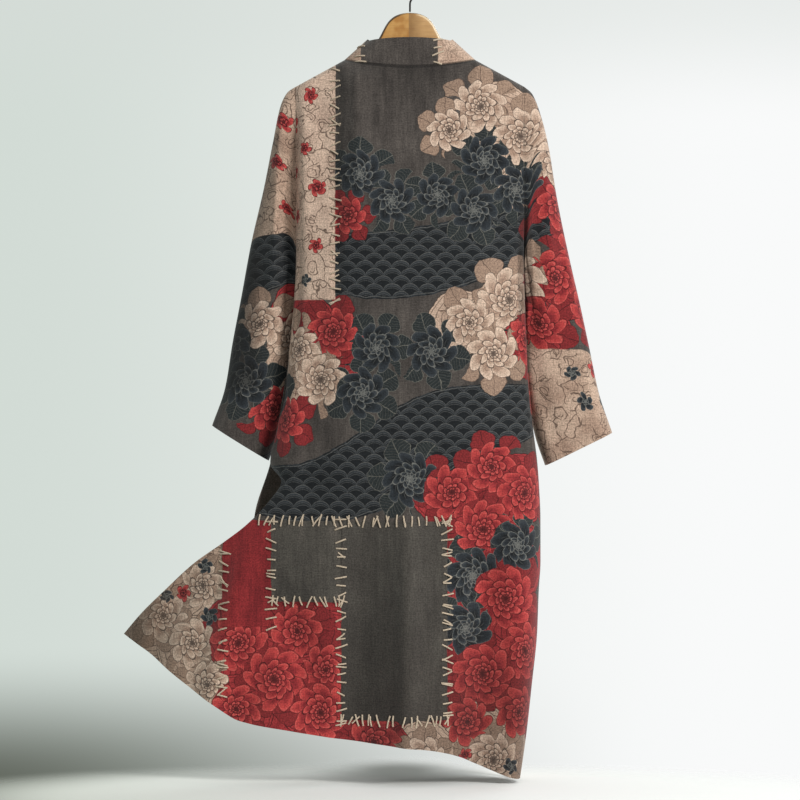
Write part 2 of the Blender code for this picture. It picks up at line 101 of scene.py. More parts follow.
class Tree:
    """A node tree with one way to add a node: its type, its settings, and its sockets' values."""

    def __init__(self, nodes, links):
        self.nodes, self.links = nodes, links

    def node(self, kind, settings=None, values=None, out=0):
        made = self.nodes.new(kind)
        for name, value in (settings or {}).items():
            setattr(made, name, value)
        for place, value in (values or {}).items():
            self.feed(made.inputs[place], value)
        return Link(self, made.outputs[out])

    def feed(self, socket, value):
        if isinstance(value, Link):
            self.links.new(value.socket, socket)
        else:
            socket.default_value = value

    def math(self, operation, *values):
        return self.node("ShaderNodeMath", {"operation": operation}, dict(enumerate(values)))

    def vector(self, operation, *values, out=0):
        return self.node("ShaderNodeVectorMath", {"operation": operation}, dict(enumerate(values)), out)

    def scale(self, vector, by):
        return self.node("ShaderNodeVectorMath", {"operation": "SCALE"}, {0: vector, "Scale": by})

    def either(self, a, b):
        """The stronger of two masks."""
        return self.math("MAXIMUM", a, b)

    def off_whole(self, value):
        """How far a number lies from the nearest whole one."""
        return value - self.math("ROUND", value)

    def on_object(self):
        """The place on the piece, in metres."""
        return self.node("ShaderNodeTexCoord", {}, {}, 3)

    def attribute(self, name, out=2):
        return self.node("ShaderNodeAttribute", {"attribute_name": name}, {}, out)

    def split(self, vector):
        first = self.node("ShaderNodeSeparateXYZ", {}, {0: vector})
        return [Link(self, socket) for socket in first.socket.node.outputs]

    def blend(self, factor, a, b):
        """Colour b over colour a."""
        return self.node("ShaderNodeMix", {"data_type": "RGBA"}, {0: factor, 6: a, 7: b}, 2)

    def pick(self, factor, a, b):
        """Vector b in place of vector a."""
        return self.node("ShaderNodeMix", {"data_type": "VECTOR"}, {0: factor, 4: a, 5: b}, 1)

    def over(self, value, start, end):
        """A soft step: 0 up to start and 1 from end, or the other way where end is the lower."""
        settings = {"interpolation_type": "SMOOTHSTEP", "clamp": True}
        return self.node("ShaderNodeMapRange", settings, {0: value, 1: start, 2: end, 3: 0.0, 4: 1.0})

    def noise(self, at, stretch, detail=2.0, roughness=0.5, out=0):
        """Noise with cells of the stretch's sizes, in the units of at."""
        scaled = self.vector("DIVIDE", at, stretch)
        values = {"Vector": scaled, "Scale": 1.0, "Detail": detail, "Roughness": roughness}
        return self.node("ShaderNodeTexNoise", {"noise_dimensions": "3D"}, values, out)


class Finish(Tree):
    """A material whose tree feeds one Principled shader."""

    def __init__(self, name, **constants):
        self.material = bpy.data.materials.new(name)
        self.material.use_nodes = True
        tree = self.material.node_tree
        super().__init__(tree.nodes, tree.links)
        self.shader = tree.nodes["Principled BSDF"]
        for socket, value in constants.items():
            self.shader.inputs[socket.replace("_", " ")].default_value = value

    def give(self, colour, roughness=None, height=None, depth=MM):
        """Feeds the shader. Height is in the depth's unit and reaches Normal through a Bump node."""
        self.feed(self.shader.inputs["Base Color"], colour)
        if roughness:
            self.feed(self.shader.inputs["Roughness"], roughness)
        if height:
            values = {"Strength": 1.0, "Distance": depth, "Height": height}
            self.feed(self.shader.inputs["Normal"], self.node("ShaderNodeBump", {}, values))
        return self.material


def lacquered_beech():
    """Painted lighting: the left half lit, the right half in shade beside the middle, painted shade along
    the edges, deepest on the left, and a painted highlight along the right edge.
    """
    wood = Finish("beech_wood", Coat_Weight=0.35, Coat_Roughness=0.22)
    at = wood.on_object()
    x, _y, _z = wood.split(at)
    grain = wood.noise(at, (0.09, 0.006, 0.006), 3.0, 0.6)
    fibres = wood.noise(at, (0.02, 0.0009, 0.0009), 2.0)
    clouds = wood.noise(at, (0.016, 0.016, 0.016), 1.0)
    # Painted lighting: lit tones for the left half, shaded tones for the right half beside the middle.
    left = wood.blend(wood.over(clouds, 0.35, 0.65), dye(206, 156, 86), dye(184, 128, 58))
    shaded_beside_ridge = wood.over(x + (clouds - 0.5) * 0.02, 0.0, 0.026)
    right = wood.blend(shaded_beside_ridge, dye(156, 116, 66), dye(204, 160, 104))
    colour = wood.blend(wood.over(x, -0.0028, -0.0012), left, right)
    colour = wood.blend(wood.over(grain, 0.4, 0.75) * 0.3, colour, dye(150, 100, 48))
    colour = wood.blend(wood.over(fibres, 0.5, 0.8) * 0.3, colour, dye(128, 80, 34))
    inward = wood.attribute("inward")
    # Painted shade along the left edge and round the outline, and a painted highlight along the right
    # edge.
    shaded_left_edge = wood.over(inward, 4.4, 2.8) * wood.over(x, 0.0, -0.024) * 0.9
    highlit_right_edge = wood.over(inward, 4.8, 3.6) * wood.over(x, 0.008, 0.02) * 0.75
    shaded_rim = wood.over(inward, 1.5, 0.9) * 0.75
    colour = wood.blend(highlit_right_edge, colour, dye(236, 214, 176))
    colour = wood.blend(wood.either(shaded_left_edge, shaded_rim), colour, dye(46, 30, 16))
    return wood.give(colour, wood.over(fibres, 0.2, 0.9) * 0.2 + 0.34, fibres, 0.2 * MM)


def put(name, data):
    """A new object in the scene."""
    made = bpy.data.objects.new(name, data)
    bpy.context.scene.collection.objects.link(made)
    return made


def finer_copy(node, name, levels):
    """A merged copy of a CAD node's mesh, made rounder by subdivision."""
    made = put(name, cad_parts[node].data.copy())
    weld = made.modifiers.new("weld", "WELD")
    weld.merge_threshold = MERGED_WITHIN * MM
    rounder = made.modifiers.new("rounder", "SUBSURF")
    rounder.levels = rounder.render_levels = levels
    mesh = bpy.data.meshes.new_from_object(made.evaluated_get(bpy.context.evaluated_depsgraph_get()))
    made.modifiers.clear()
    made.data = mesh
    mesh.name = name
    mesh.shade_smooth()
    return made


def dress(made, material, node):
    """The piece takes its material, rides with the hanger and stands in for its CAD node."""
    made.data.materials.clear()
    made.data.materials.append(material)
    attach(made, "root")
    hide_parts(node)


def store(mesh, name, values):
    """Numbers or vectors for the points of a mesh, which its material reads by their name."""
    kind, key = ("FLOAT", "value") if values.ndim == 1 else ("FLOAT_VECTOR", "vector")
    mesh.attributes.new(name, kind, "POINT").data.foreach_set(key, values.astype(np.float32).ravel())


def mark_inward(mesh):
    """How far each point lies in from the upper outline, in mm, read off the outline itself."""
    places = np.zeros(len(mesh.vertices) * 3)
    mesh.vertices.foreach_get("co", places)
    x, _y, z = places.reshape(-1, 3).T / MM
    stations = np.arange(-ARM_HALF_LENGTH, ARM_HALF_LENGTH + 1, STATION_GAP)
    near = [np.flatnonzero(abs(x - station) < STATION_REACH) for station in stations]
    highest = [strip[z[strip].argmax()] for strip in near if len(strip)]
    outline_x, outline_z = x[highest], z[highest]
    slope = np.gradient(outline_z, outline_x)
    inward = (np.interp(x, outline_x, outline_z) - z) / np.sqrt(1 + np.interp(x, outline_x, slope) ** 2)
    store(mesh, "inward", inward)


wood = finer_copy("hanger_wood", "hanger_arm", 3)
mark_inward(wood.data)
dress(wood, lacquered_beech(), "hanger_wood")


# The hook
# A steel wire screwed into the hump, bent round to take the rail. It is plated dark, and paler on
# its upper part.


def plated_wire():
    wire = Finish("steel_wire", Metallic=1.0)
    at = wire.on_object()
    paler_on_top = wire.over(wire.split(at)[2] + wire.noise(at, (0.004, 0.004, 0.004)) * 0.012, -0.008, 0.008)
    streaks = wire.noise(at, (0.0006, 0.0006, 0.006), 2.0)
    colour = wire.blend(paler_on_top, dye(52, 50, 49), dye(120, 118, 115))
    return wire.give(colour, streaks * 0.25 + 0.22, streaks, 0.03 * MM)


hook = finer_copy("hanger_hook", "wire_hook", 1)
dress(hook, plated_wire(), "hanger_hook")


# The back
# One panel of slub linen from the shoulders to the hem, sewn to the fronts down to the side vents.
# Its left corner is blown out to the side. Tables are in millimetres, x to the right and z up.


class Table:
    """Rows of numbers under named columns, read between rows on a curve that never overshoots."""

    def __init__(self, names, *rows):
        self.columns = dict(zip(names.split(), np.array(rows, float).T))
        self.keys = self.columns[names.split()[0]]

    def at(self, name, where):
        keys, values = self.keys, self.columns[name]
        step = np.diff(keys)
        slope = np.diff(values) / step
        same_way = slope[:-1] * slope[1:] > 0
        harmonic = 2 * slope[:-1] * slope[1:] / np.where(same_way, slope[:-1] + slope[1:], 1)
        turns = np.array([slope[0], *np.where(same_way, harmonic, 0), slope[-1]])
        where = np.clip(where, keys[0], keys[-1])
        i = np.clip(np.searchsorted(keys, where, side="right") - 1, 0, len(step) - 1)
        f = (where - keys[i]) / step[i]
        ends = (1 + 2 * f) * (1 - f) ** 2 * values[i] + f * f * (3 - 2 * f) * values[i + 1]
        return ends + (f * (1 - f) ** 2 * turns[i] - f * f * (1 - f) * turns[i + 1]) * step[i]

    def rows(self):
        return zip(*self.columns.values())


BACK_EDGES = Table(
    "share left_x left_y left_z right_x right_y right_z depth wing",
    (0.000, -193, 0, -198, 193, 0, -198, 14, 0.0),
    (0.012, -193, 0, -212, 193, 0, -212, 32, 0.0),
    (0.050, -193, 0, -257, 193, 0, -257, 46, 0.0),
    (0.130, -193, 0, -353, 193, 0, -353, 60, 0.0),
    (0.242, -193, 0, -483, 193, 0, -483, 70, 0.0),
    (0.313, -197, 0, -566, 195, 0, -566, 75, 0.0),
    (0.376, -204, 0, -639, 198, 0, -639, 79, 0.0),
    (0.441, -211, 0, -715, 201, 0, -715, 83, 0.0),
    (0.497, -226, 0, -781, 209, 0, -781, 87, 0.0),
    (0.5455, -237, 0, -837, 216, 0, -837, 91, 0.0),
    (0.582, -217, -34, -866, 219, -1, -880, 95, 0.45),
    (0.625, -240, -42, -903, 221, -2, -930, 99, 0.8),
    (0.687, -277, -42, -941, 221, -3, -1002, 104, 1.0),
    (0.728, -311, -36, -967, 218, -4, -1050, 107, 1.0),
    (0.792, -366, -18, -1006, 215, -5, -1124, 111, 1.0),
    (0.865, -417, 8, -1053, 206, -6, -1210, 115, 1.0),
    (0.934, -458, 34, -1093, 197, -8, -1290, 118, 1.0),
    (1.000, -490, 62, -1130, 186, -10, -1367, 120, 1.0),
)
HEM_LIFT = Table(
    "x lift",
    (-490, 237), (-444, 208), (-407, 180), (-370, 154), (-333, 130), (-284, 101), (-200, 86), (-118, 72),
    (-35, 62), (36, 53), (83, 41), (110, 28), (137, 16), (165, 5), (186, 0), (230, 0),
)
FOLD_COLUMNS = "top_x top_z low_x low_z half_width depth"
BACK_FOLDS = Table(
    FOLD_COLUMNS,
    (-148, -60, -150, -600, 30, 7),
    (-121, -60, -123, -600, 9, 5),
    (-92, -60, -94, -420, 24, -13),
    (-58, -60, -60, -420, 40, -10),
    (-150, -520, -160, -900, 24, 7),
    (-196, -600, -206, -880, 20, -6),
    (150, -330, 168, -760, 24, 8),
    (-66, -880, -104, -1420, 38, 22),
    (-4, -850, -6, -1420, 24, -19),
    (100, -880, 96, -1420, 60, 12),
    (122, -870, 118, -1420, 30, 18),
    (196, -860, 186, -1420, 30, -13),
    (-226, -1000, -146, -1300, 40, 17),
    (-266, -930, -350, -1300, 26, -18),
    (-350, -980, -462, -1220, 24, 12),
)
BACK_CREASES = Table(
    FOLD_COLUMNS,
    (-104, -160, -102, -370, 7, 2.2),
    (-150, -250, -120, -470, 9, 1.6),
    (176, -240, 184, -560, 8, 2.4),
    (120, -420, 150, -640, 10, 1.8),
    (60, -620, 40, -900, 14, 2.0),
    (-40, -560, -60, -860, 13, 1.8),
    (-20, -700, -8, -960, 12, -1.6),
    (150, -700, 140, -1000, 12, 2.2),
    (-160, -640, -176, -900, 11, 2.2),
    (-24, -960, -30, -1420, 12, 3.0),
    (70, -1000, 64, -1420, 11, 2.6),
    (160, -1060, 150, -1420, 11, 3.0),
    (-120, -960, -140, -1400, 12, -2.6),
    (-205, -960, -300, -1380, 12, 3.0),
    (-290, -960, -400, -1290, 10, 2.6),
    (-370, -1010, -470, -1200, 10, 2.2),
)
TUCKS = Table(
    "below left right",
    (198, 8, 0),
    (245, 20, 0.5),
    (300, 30, 1),
    (350, 36, 2),
    (430, 37, 9),
    (483, 32, 14),
    (545, 22, 9),
    (640, 3, 3),
    (800, 0, 0),
)
LEFT_TUCK_AT, RIGHT_TUCK_AT, TUCK_BODY_SIDE, TUCK_SLEEVE_SIDE = -195, 193, 9, 26
NECK_HALF_WIDTH, NECK_SCOOP, NECK_DEPTH = 112, 14, 45
SHOULDER_HALF_WIDTH, SHOULDER_Z, NECK_Z = 193, -198, -154
UNDERARM_Z, ARMHOLE_DEPTH = -483, 38
SHOULDER_ROLLS, SLOPE_ENDS, VENT_STARTS = 0.012, 0.30, 0.5455
SECTION_POWER, SEAM_POWER, WING_POWER, NECK_POWER = 2.6, 1.6, 2.4, 6
WING_PULL, SEWN_FROM, FREE_FROM = 0.3, 0.93, 0.02
BACK_STEPS_DOWN, BACK_STEPS_ACROSS, ROLL_STEPS = 170, 201, 12
LINEN, SHARP_ANGLE = 1.5, 50


def fade(low, high, at):
    f = np.clip((at - low) / (high - low), 0, 1)
    return f * f * (3 - 2 * f)


def rounding(t):
    """The share of its depth that a section has, from 1 in the middle to 0 at the sides."""
    return (1 - np.minimum(abs(t), 1) ** SECTION_POWER) ** (1 / SECTION_POWER)


def shoulder_rise(x):
    """How far shoulder seam and neckline stand above the shoulder's end."""
    top = NECK_Z - SHOULDER_Z
    slope = top * (SHOULDER_HALF_WIDTH - abs(x)) / (SHOULDER_HALF_WIDTH - NECK_HALF_WIDTH)
    return np.where(abs(x) < NECK_HALF_WIDTH, top - NECK_SCOOP * (1 - (x / NECK_HALF_WIDTH) ** 2), slope)


def slope_left(share):
    return (1 - np.minimum(share / SLOPE_ENDS, 1)) ** 2


def armhole_depth(z):
    middle, reach = (SHOULDER_Z + UNDERARM_Z) / 2, (SHOULDER_Z - UNDERARM_Z) / 2
    return ARMHOLE_DEPTH * np.sqrt(np.maximum(0, 1 - ((z - middle) / reach) ** 2))


def folded(folds, x, z):
    """How deep the troughs are at a point, less the ridges, with the ends of each faded out."""
    total = 0 * x
    for top_x, top_z, low_x, low_z, half_width, depth in folds.rows():
        along = (top_z - z) / (top_z - low_z)
        across = (x - top_x - (low_x - top_x) * along) / half_width
        total = total + depth * np.exp(-across * across) * fade(0, 0.35, along) * fade(1.15, 0.9, along)
    return total


def tucked(x, z):
    """How far the cloth is drawn in along an armhole, steeply on the body and gently on the sleeve."""
    depth = np.where(x < 0, TUCKS.at("left", -z), TUCKS.at("right", -z))
    gap = np.where(x < 0, LEFT_TUCK_AT - x, x - RIGHT_TUCK_AT)
    on_sleeve = np.exp(-(gap / TUCK_SLEEVE_SIDE) ** 4)
    return depth * np.where(gap > 0, on_sleeve, np.exp(-(gap / TUCK_BODY_SIDE) ** 2))


def rolled(share, y_top, y_below):
    """The quarter round with which the cloth comes down over the hanger."""
    f = np.minimum(share / SHOULDER_ROLLS, 1)
    return y_top + (y_below - y_top) * np.sqrt(1 - (1 - f) ** 2)


def back_points(share, t):
    """Points of the outer face: share 0 at the shoulder and 1 at the hem, t -1 left and 1 right."""
    read = lambda name: BACK_EDGES.at(name, share)
    end_x, end_y, end_z = (np.where(t < 0, read("left_" + axis), read("right_" + axis)) for axis in "xyz")
    wing = read("wing")
    centre_x = WING_PULL * wing * (read("left_x") + read("right_x"))
    x = centre_x + (end_x - centre_x) * abs(t)
    blown = (1 - wing) * rounding(t) + wing * (1 - abs(t) ** WING_POWER)
    bulge = np.where(t > 0, rounding(t), blown)
    depth = BACK_EDGES.at("depth", np.maximum(share, SHOULDER_ROLLS))
    y = depth * bulge + (armhole_depth(end_z) - end_y) * (1 - bulge) ** SEAM_POWER
    neck = NECK_DEPTH * np.sqrt(np.maximum(0, 1 - (x / NECK_HALF_WIDTH) ** 2))
    below_neck = (abs(y) ** NECK_POWER + neck ** NECK_POWER) ** (1 / NECK_POWER)
    y = -np.where(share < SLOPE_ENDS, rolled(share, neck, below_neck), y)
    z = read("right_z") + shoulder_rise(x) * slope_left(share)
    lifted = HEM_LIFT.at("lift", x) / HEM_LIFT.at("lift", read("left_x"))
    z = z + np.where(share > VENT_STARTS, (read("left_z") - read("right_z")) * lifted, 0)
    held = np.where(share < VENT_STARTS, fade(1.0, SEWN_FROM, abs(t)), 1)
    free = fade(0, FREE_FROM, share)
    y = y + folded(BACK_FOLDS, x, z) * held * free + folded(BACK_CREASES, x, z) * held * free
    sewn_in = 1 - fade(SEWN_FROM, 1.0, abs(t)) * (1 - armhole_depth(z) / ARMHOLE_DEPTH)
    y = y + tucked(x, z) * sewn_in * np.where(share < VENT_STARTS, 1, 0)
    return np.stack(np.broadcast_arrays(x, y, z), -1)


def panel_shares(count):
    """Rows of a panel, closest where it rolls over the hanger."""
    roll = SHOULDER_ROLLS * (1 - np.cos(np.linspace(0, math.pi / 2, ROLL_STEPS)))
    below = np.linspace(SHOULDER_ROLLS, 1, count - ROLL_STEPS + 1)[1:]
    return np.concatenate([roll, below])[:, None]


def arc_lengths(grid, axis):
    """The length along the grid's rows or columns, from their start."""
    steps = np.linalg.norm(np.diff(grid, axis=axis), axis=2)
    pad = [(0, 0), (0, 0)]
    pad[axis] = (1, 0)
    return np.cumsum(np.pad(steps, pad), axis=axis)


def print_map(grid, t, wing, turns_at=0.84):
    """Where the print lies: straight through x and z, but along the cloth where it turns aside."""
    along = arc_lengths(grid, 1)
    u = grid[:, :, 0]
    for side, share in ((-1, 1 - wing), (1, 1)):
        edge = np.argmin(abs(t[0] - side * turns_at))
        real = u[:, [edge]] + (along - along[:, [edge]])
        u = np.where(t[0] * side > turns_at, u + (real - u) * share, u)
    return np.stack([u, grid[:, :, 2]], -1)


def walls(grid, thickness, inside, wraps):
    """The inner face of the cloth, square to the outer one and on the side where inside is."""
    down = np.gradient(grid, axis=0)
    across = np.gradient(grid, axis=1)
    if wraps:
        across = np.roll(grid, -1, axis=1) - np.roll(grid, 1, axis=1)
    normal = np.cross(down, across)
    normal /= np.maximum(np.linalg.norm(normal, axis=2, keepdims=True), 1e-9)
    towards = np.sum(normal * (inside - grid), axis=2, keepdims=True)
    return grid + normal * np.where(towards < 0, -thickness, thickness)


def cloth(name, grid, prints, inside, thickness=LINEN, wraps=False, streams=None):
    """A closed wall of cloth with its print map, a mark on its reverse and the streams' own map."""
    rows, columns = grid.shape[:2]
    points = np.concatenate([grid.reshape(-1, 3), walls(grid, thickness, inside, wraps).reshape(-1, 3)])
    count, map_columns = rows * columns, prints.shape[1]
    last = columns if wraps else columns - 1

    def quads(rc):
        """Faces from the grid places of their corners, and the same corners' places on the map."""
        faces = [r * columns + c % columns + count * inner for r, c, inner in rc]
        places = [r * map_columns + c for r, c, _inner in rc]
        return np.stack(faces, -1).reshape(-1, 4), np.stack(places, -1).reshape(-1, 4)

    r, c = (a.ravel() for a in np.mgrid[0:rows - 1, 0:last])
    around, down = np.arange(last), np.arange(rows - 1)
    top, low, right = 0 * around, 0 * around + rows - 1, 0 * down + columns - 1
    sets = [
        quads([(r, c, 0), (r, c + 1, 0), (r + 1, c + 1, 0), (r + 1, c, 0)]),
        quads([(r + 1, c, 1), (r + 1, c + 1, 1), (r, c + 1, 1), (r, c, 1)]),
        quads([(top, around + 1, 0), (top, around, 0), (top, around, 1), (top, around + 1, 1)]),
        quads([(low, around, 0), (low, around + 1, 0), (low, around + 1, 1), (low, around, 1)]),
    ]
    if not wraps:
        left = 0 * down
        sets += [
            quads([(down + 1, right, 0), (down, right, 0), (down, right, 1), (down + 1, right, 1)]),
            quads([(down, left, 0), (down + 1, left, 0), (down + 1, left, 1), (down, left, 1)]),
        ]
    faces, places = (np.concatenate(part) for part in zip(*sets))
    corners = points[faces]
    volume = np.sum(np.cross(corners[:, 0], corners[:, 1]) * corners[:, 2])
    volume += np.sum(np.cross(corners[:, 0], corners[:, 2]) * corners[:, 3])
    if volume < 0:
        faces, places = faces[:, ::-1], places[:, ::-1]
    mesh = bpy.data.meshes.new(name)
    mesh.from_pydata((points * MM).tolist(), [], faces.tolist())
    flat = prints.reshape(-1, 2)[places.ravel()]
    mesh.uv_layers.new(name="print").uv.foreach_set("vector", (flat * MM).astype(np.float32).ravel())
    store(mesh, "reverse", np.repeat([0.0, 1.0], count))
    if streams is not None:
        store(mesh, "stream", np.tile(streams.reshape(-1, 3), (2, 1)))
    mesh.shade_smooth()
    mesh.set_sharp_from_angle(angle=math.radians(SHARP_ANGLE))
    return put(name, mesh)


CHARCOAL, CHARCOAL_DARK, CHARCOAL_PALE = dye(78, 72, 68), dye(60, 55, 52), dye(94, 87, 82)
BEIGE, BEIGE_DEEP = dye(196, 169, 149), dye(168, 140, 122)
RED, RED_DEEP = dye(158, 52, 54), dye(122, 35, 38)
HUE_BEIGE, HUE_RED, HUE_INK = 1, 2, 3
TOP_ROW, LOBE, PETAL_HEIGHT = 20, 0.86, 0.72
NO_PLACE, NO_MOTIF = (9e3, 9e3, 0.0), (1.0, 12.0, 0.0)
TURN_PER_X, TURN_PER_Z = 0.37, 0.61


@functools.cache
def motif_finder(motifs, reach):
    """A node group that finds the last motif whose circle holds a place: its middle, turn and kind."""
    group = bpy.data.node_groups.new("motif_finder", "ShaderNodeTree")
    for name, in_out in (("Place", "INPUT"), ("Middle", "OUTPUT"), ("Kind", "OUTPUT")):
        group.interface.new_socket(name, in_out=in_out, socket_type="NodeSocketVector")
    tree = Tree(group.nodes, group.links)
    here = tree.node("NodeGroupInput")
    place, kind = NO_PLACE, NO_MOTIF
    for x, z, radius, petals, hue in motifs.rows():
        inside = tree.vector("DISTANCE", here, (x, z, 0), out=1) < radius * reach
        place = tree.pick(inside, place, (x, z, (x * TURN_PER_X + z * TURN_PER_Z) % 1))
        kind = tree.pick(inside, kind, (radius, petals, hue))
    leave = group.nodes.new("NodeGroupOutput")
    tree.feed(leave.inputs["Middle"], place)
    tree.feed(leave.inputs["Kind"], kind)
    return group


class PrintedLinen(Finish):
    """Slub linen with its print built up in layers, each over the ones before. Lengths are in mm."""

    def __init__(self, name):
        sheen = {"Sheen_Weight": 0.12, "Sheen_Roughness": 0.5}
        super().__init__(name, Roughness=0.9, Specular_IOR_Level=0.25, **sheen)
        self.at = self.scale(self.node("ShaderNodeUVMap", {"uv_map": "print"}), 1 / MM)
        wobble = self.vector("SUBTRACT", self.noise(self.at, (24, 24, 24), 2.0, out=1), (0.5, 0.5, 0.5))
        self.hand = self.vector("MULTIPLY_ADD", wobble, (12.0, 12.0, 0.0), self.at)
        self.u, self.v, _w = self.split(self.vector("MULTIPLY_ADD", wobble, (4.0, 4.0, 0.0), self.at))
        self.colour = self.charcoal(CHARCOAL_DARK, CHARCOAL, CHARCOAL_PALE)
        self.raised = 0.0

    def charcoal(self, dark, middle, pale):
        """Charcoal dye, cloudy and faintly streaked down the warp."""
        streaks = self.noise(self.at, (9, 70, 1), 3.0, 0.6)
        clouds = self.noise(self.at, (70, 90, 1), 3.0, 0.6)
        tone = streaks * 0.45 + clouds * 0.55
        ground = self.blend(self.over(tone, 0.34, 0.54), dark, middle)
        return self.blend(self.over(tone, 0.5, 0.68), ground, pale)

    def box(self, left, right, low, high, soft=1.0):
        """1 inside a rectangle with hand cut edges."""
        u, v = self.u, self.v
        inside = self.over(u, left - soft, left + soft) * self.over(u, right + soft, right - soft)
        return inside * self.over(v, low - soft, low + soft) * self.over(v, high + soft, high - soft)

    def area(self, mask, colour, deep=None):
        """A field of one dye or of painted shade, mottled towards its deeper colour when one is given."""
        if deep:
            mottle = self.over(self.noise(self.at, (45, 45, 45), 3.0), 0.35, 0.7)
            colour = self.blend(mottle, colour, deep)
        self.colour = self.blend(mask, self.colour, colour)

    def batik(self, mask, colour=BEIGE, deep=BEIGE_DEEP, size=38, strength=0.8):
        """A pale field with thin resist lines in it: cracks and open rings, broken here and there."""
        self.area(mask, colour, deep)
        bend = self.vector("SUBTRACT", self.noise(self.at, (20, 20, 20), 1.0, out=1), (0.5, 0.5, 0.5))
        bent = self.vector("MULTIPLY_ADD", bend, (20.0, 20.0, 0.0), self.at)
        breaks = self.noise(self.at, (26, 26, 26), 1.0)
        lines = 0.0
        for kind, cell, radius, start, end in (
            ("DISTANCE_TO_EDGE", size, 0.0, 0.44, 0.47),
            ("F1", size * 0.8, 10.0, 0.55, 0.52),
            ("F1", size * 0.8, 5.0, 0.44, 0.48),
        ):
            values = {"Vector": self.vector("DIVIDE", bent, (cell, cell, cell)), "Scale": 1.0}
            settings = {"voronoi_dimensions": "2D", "feature": kind}
            gap = self.node("ShaderNodeTexVoronoi", settings, values) * cell
            line = self.over(abs(gap - radius), 1.2, 0.5) * self.over(breaks, start, end)
            lines = self.either(line, lines)
        self.colour = self.blend(mask * lines * strength, self.colour, dye(84, 66, 56))

    def hills(self, hills):
        """Wave hills: large rounds ringed with thin dark lines, the nearer over the farther."""
        distance, _around, radius, _petals, hue, _twist = self.chosen(hills, 1.0)
        gap = radius - distance
        rings = abs(self.math("FRACT", gap / 9.5) - 0.5) * 9.5
        lines = self.either(self.over(rings, 0.95, 0.4) * 0.72, self.over(gap, 1.5, 0.8))
        is_red = hue > HUE_RED - 0.5
        light = self.blend(is_red, BEIGE, RED)
        deep = self.blend(is_red, BEIGE_DEEP, RED_DEEP)
        line = self.blend(is_red, dye(70, 56, 50), dye(58, 18, 22))
        colour = self.blend(self.over(gap / radius, 0.1, 0.8), light, deep)
        colour = self.blend(lines, colour, line)
        self.colour = self.blend(self.over(hue, 0.4, 0.6), self.colour, colour)

    def scales(self, across, up):
        """Rows of overlapping lobes: the row, the place across a lobe and the depth below its edge."""
        row_below = self.math("FLOOR", up)
        rest = up - row_below
        tip = abs(self.math("COSINE", (across + row_below * 0.5) * math.pi)) ** 0.5 * LOBE
        row = row_below + (rest > tip)
        middle = self.off_whole(across + row * 0.5)
        own_tip = abs(self.math("COSINE", middle * math.pi)) ** 0.5 * LOBE
        return row, middle, row + own_tip - up, abs(rest - tip)

    def waves(self, width=30, height=13):
        """The streams: ink bands filled with rows of waves, between pale border lines."""
        across, _down, half = self.split(self.attribute("stream", 1))
        edge = half - abs(across) + (self.noise(self.at, (22, 22, 22)) - 0.5) * 7
        band = self.over(edge, -0.6, 0.6) * self.over(half, 0.5, 1.5)
        _row, _middle, depth, near = self.scales(self.u / width, self.v / height)
        depth = depth * height
        lines = self.over(self.math("MINIMUM", near * height, depth), 0.95, 0.4)
        for step in (3.6, 7.0):
            lines = self.either(lines, self.over(abs(depth - step), 0.6, 0.2) * 0.75)
        inside = self.over(edge, 5.5, 6.2)
        border = self.over(abs(edge - 3.4), 1.0, 0.5)
        lines = self.either(lines * inside, border)
        shade = self.blend(self.over(depth, 1, 9), dye(50, 54, 58), dye(26, 29, 32))
        self.colour = self.blend(band, self.colour, self.blend(lines * 0.75, shade, dye(96, 96, 94)))

    def chosen(self, motifs, reach):
        """The motif at each point: distance and turn from its middle, its kind and its twist."""
        settings = {"node_tree": motif_finder(motifs, reach)}
        place = self.node("ShaderNodeGroup", settings, {"Place": self.hand}, "Middle")
        kind = Link(self, place.socket.node.outputs["Kind"])
        turn = self.split(place)[2]
        offset = self.vector("MULTIPLY", self.vector("SUBTRACT", self.hand, place), (1, 1, 0))
        dx, dz, _dw = self.split(offset)
        distance = self.vector("LENGTH", offset, out=1)
        around = self.math("ARCTAN2", dz, dx) / (2 * math.pi) + turn
        twist = (self.math("ROUND", turn) - 0.5) * 0.9
        return distance, around, *self.split(kind), twist

    def by_hue(self, hue, beige, red, ink):
        is_red, is_ink = hue > HUE_RED - 0.5, hue > HUE_INK - 0.5
        return self.blend(is_ink, self.blend(is_red, beige, red), ink)

    def leaves(self, blooms, count=6, reach=1.55):
        """Pointed leaves of the bloom's own dye that spread from under it."""
        distance, around, radius, _petals, hue, _twist = self.chosen(blooms, reach)
        out = distance / radius
        middle = self.off_whole(around * count)
        along = self.math("MINIMUM", self.either((out - 0.6) / 0.92, 0.0), 1.0)
        body = self.math("SINE", along * math.pi)
        gap = (body ** 0.8 * 0.44 - abs(middle)) * distance * (2 * math.pi / count)
        rib = self.over(abs(middle) * distance, 0.75, 0.3)
        side_ribs = self.math("FRACT", out * 8 - abs(middle) * 6)
        ribs = self.either(rib, self.over(abs(side_ribs - 0.5), 0.08, 0.02) * 0.55)
        lines = self.either(ribs, self.over(gap, 1.5, 0.7))
        leaf = self.by_hue(hue, dye(158, 132, 114), dye(130, 41, 43), dye(42, 47, 48))
        line = self.by_hue(hue, dye(76, 60, 52), dye(54, 18, 22), dye(112, 110, 102))
        leaf = self.blend(lines * 0.85, leaf, line)
        self.colour = self.blend(self.over(gap, -0.3, 0.3) * self.over(hue, 0.4, 0.6), self.colour, leaf)

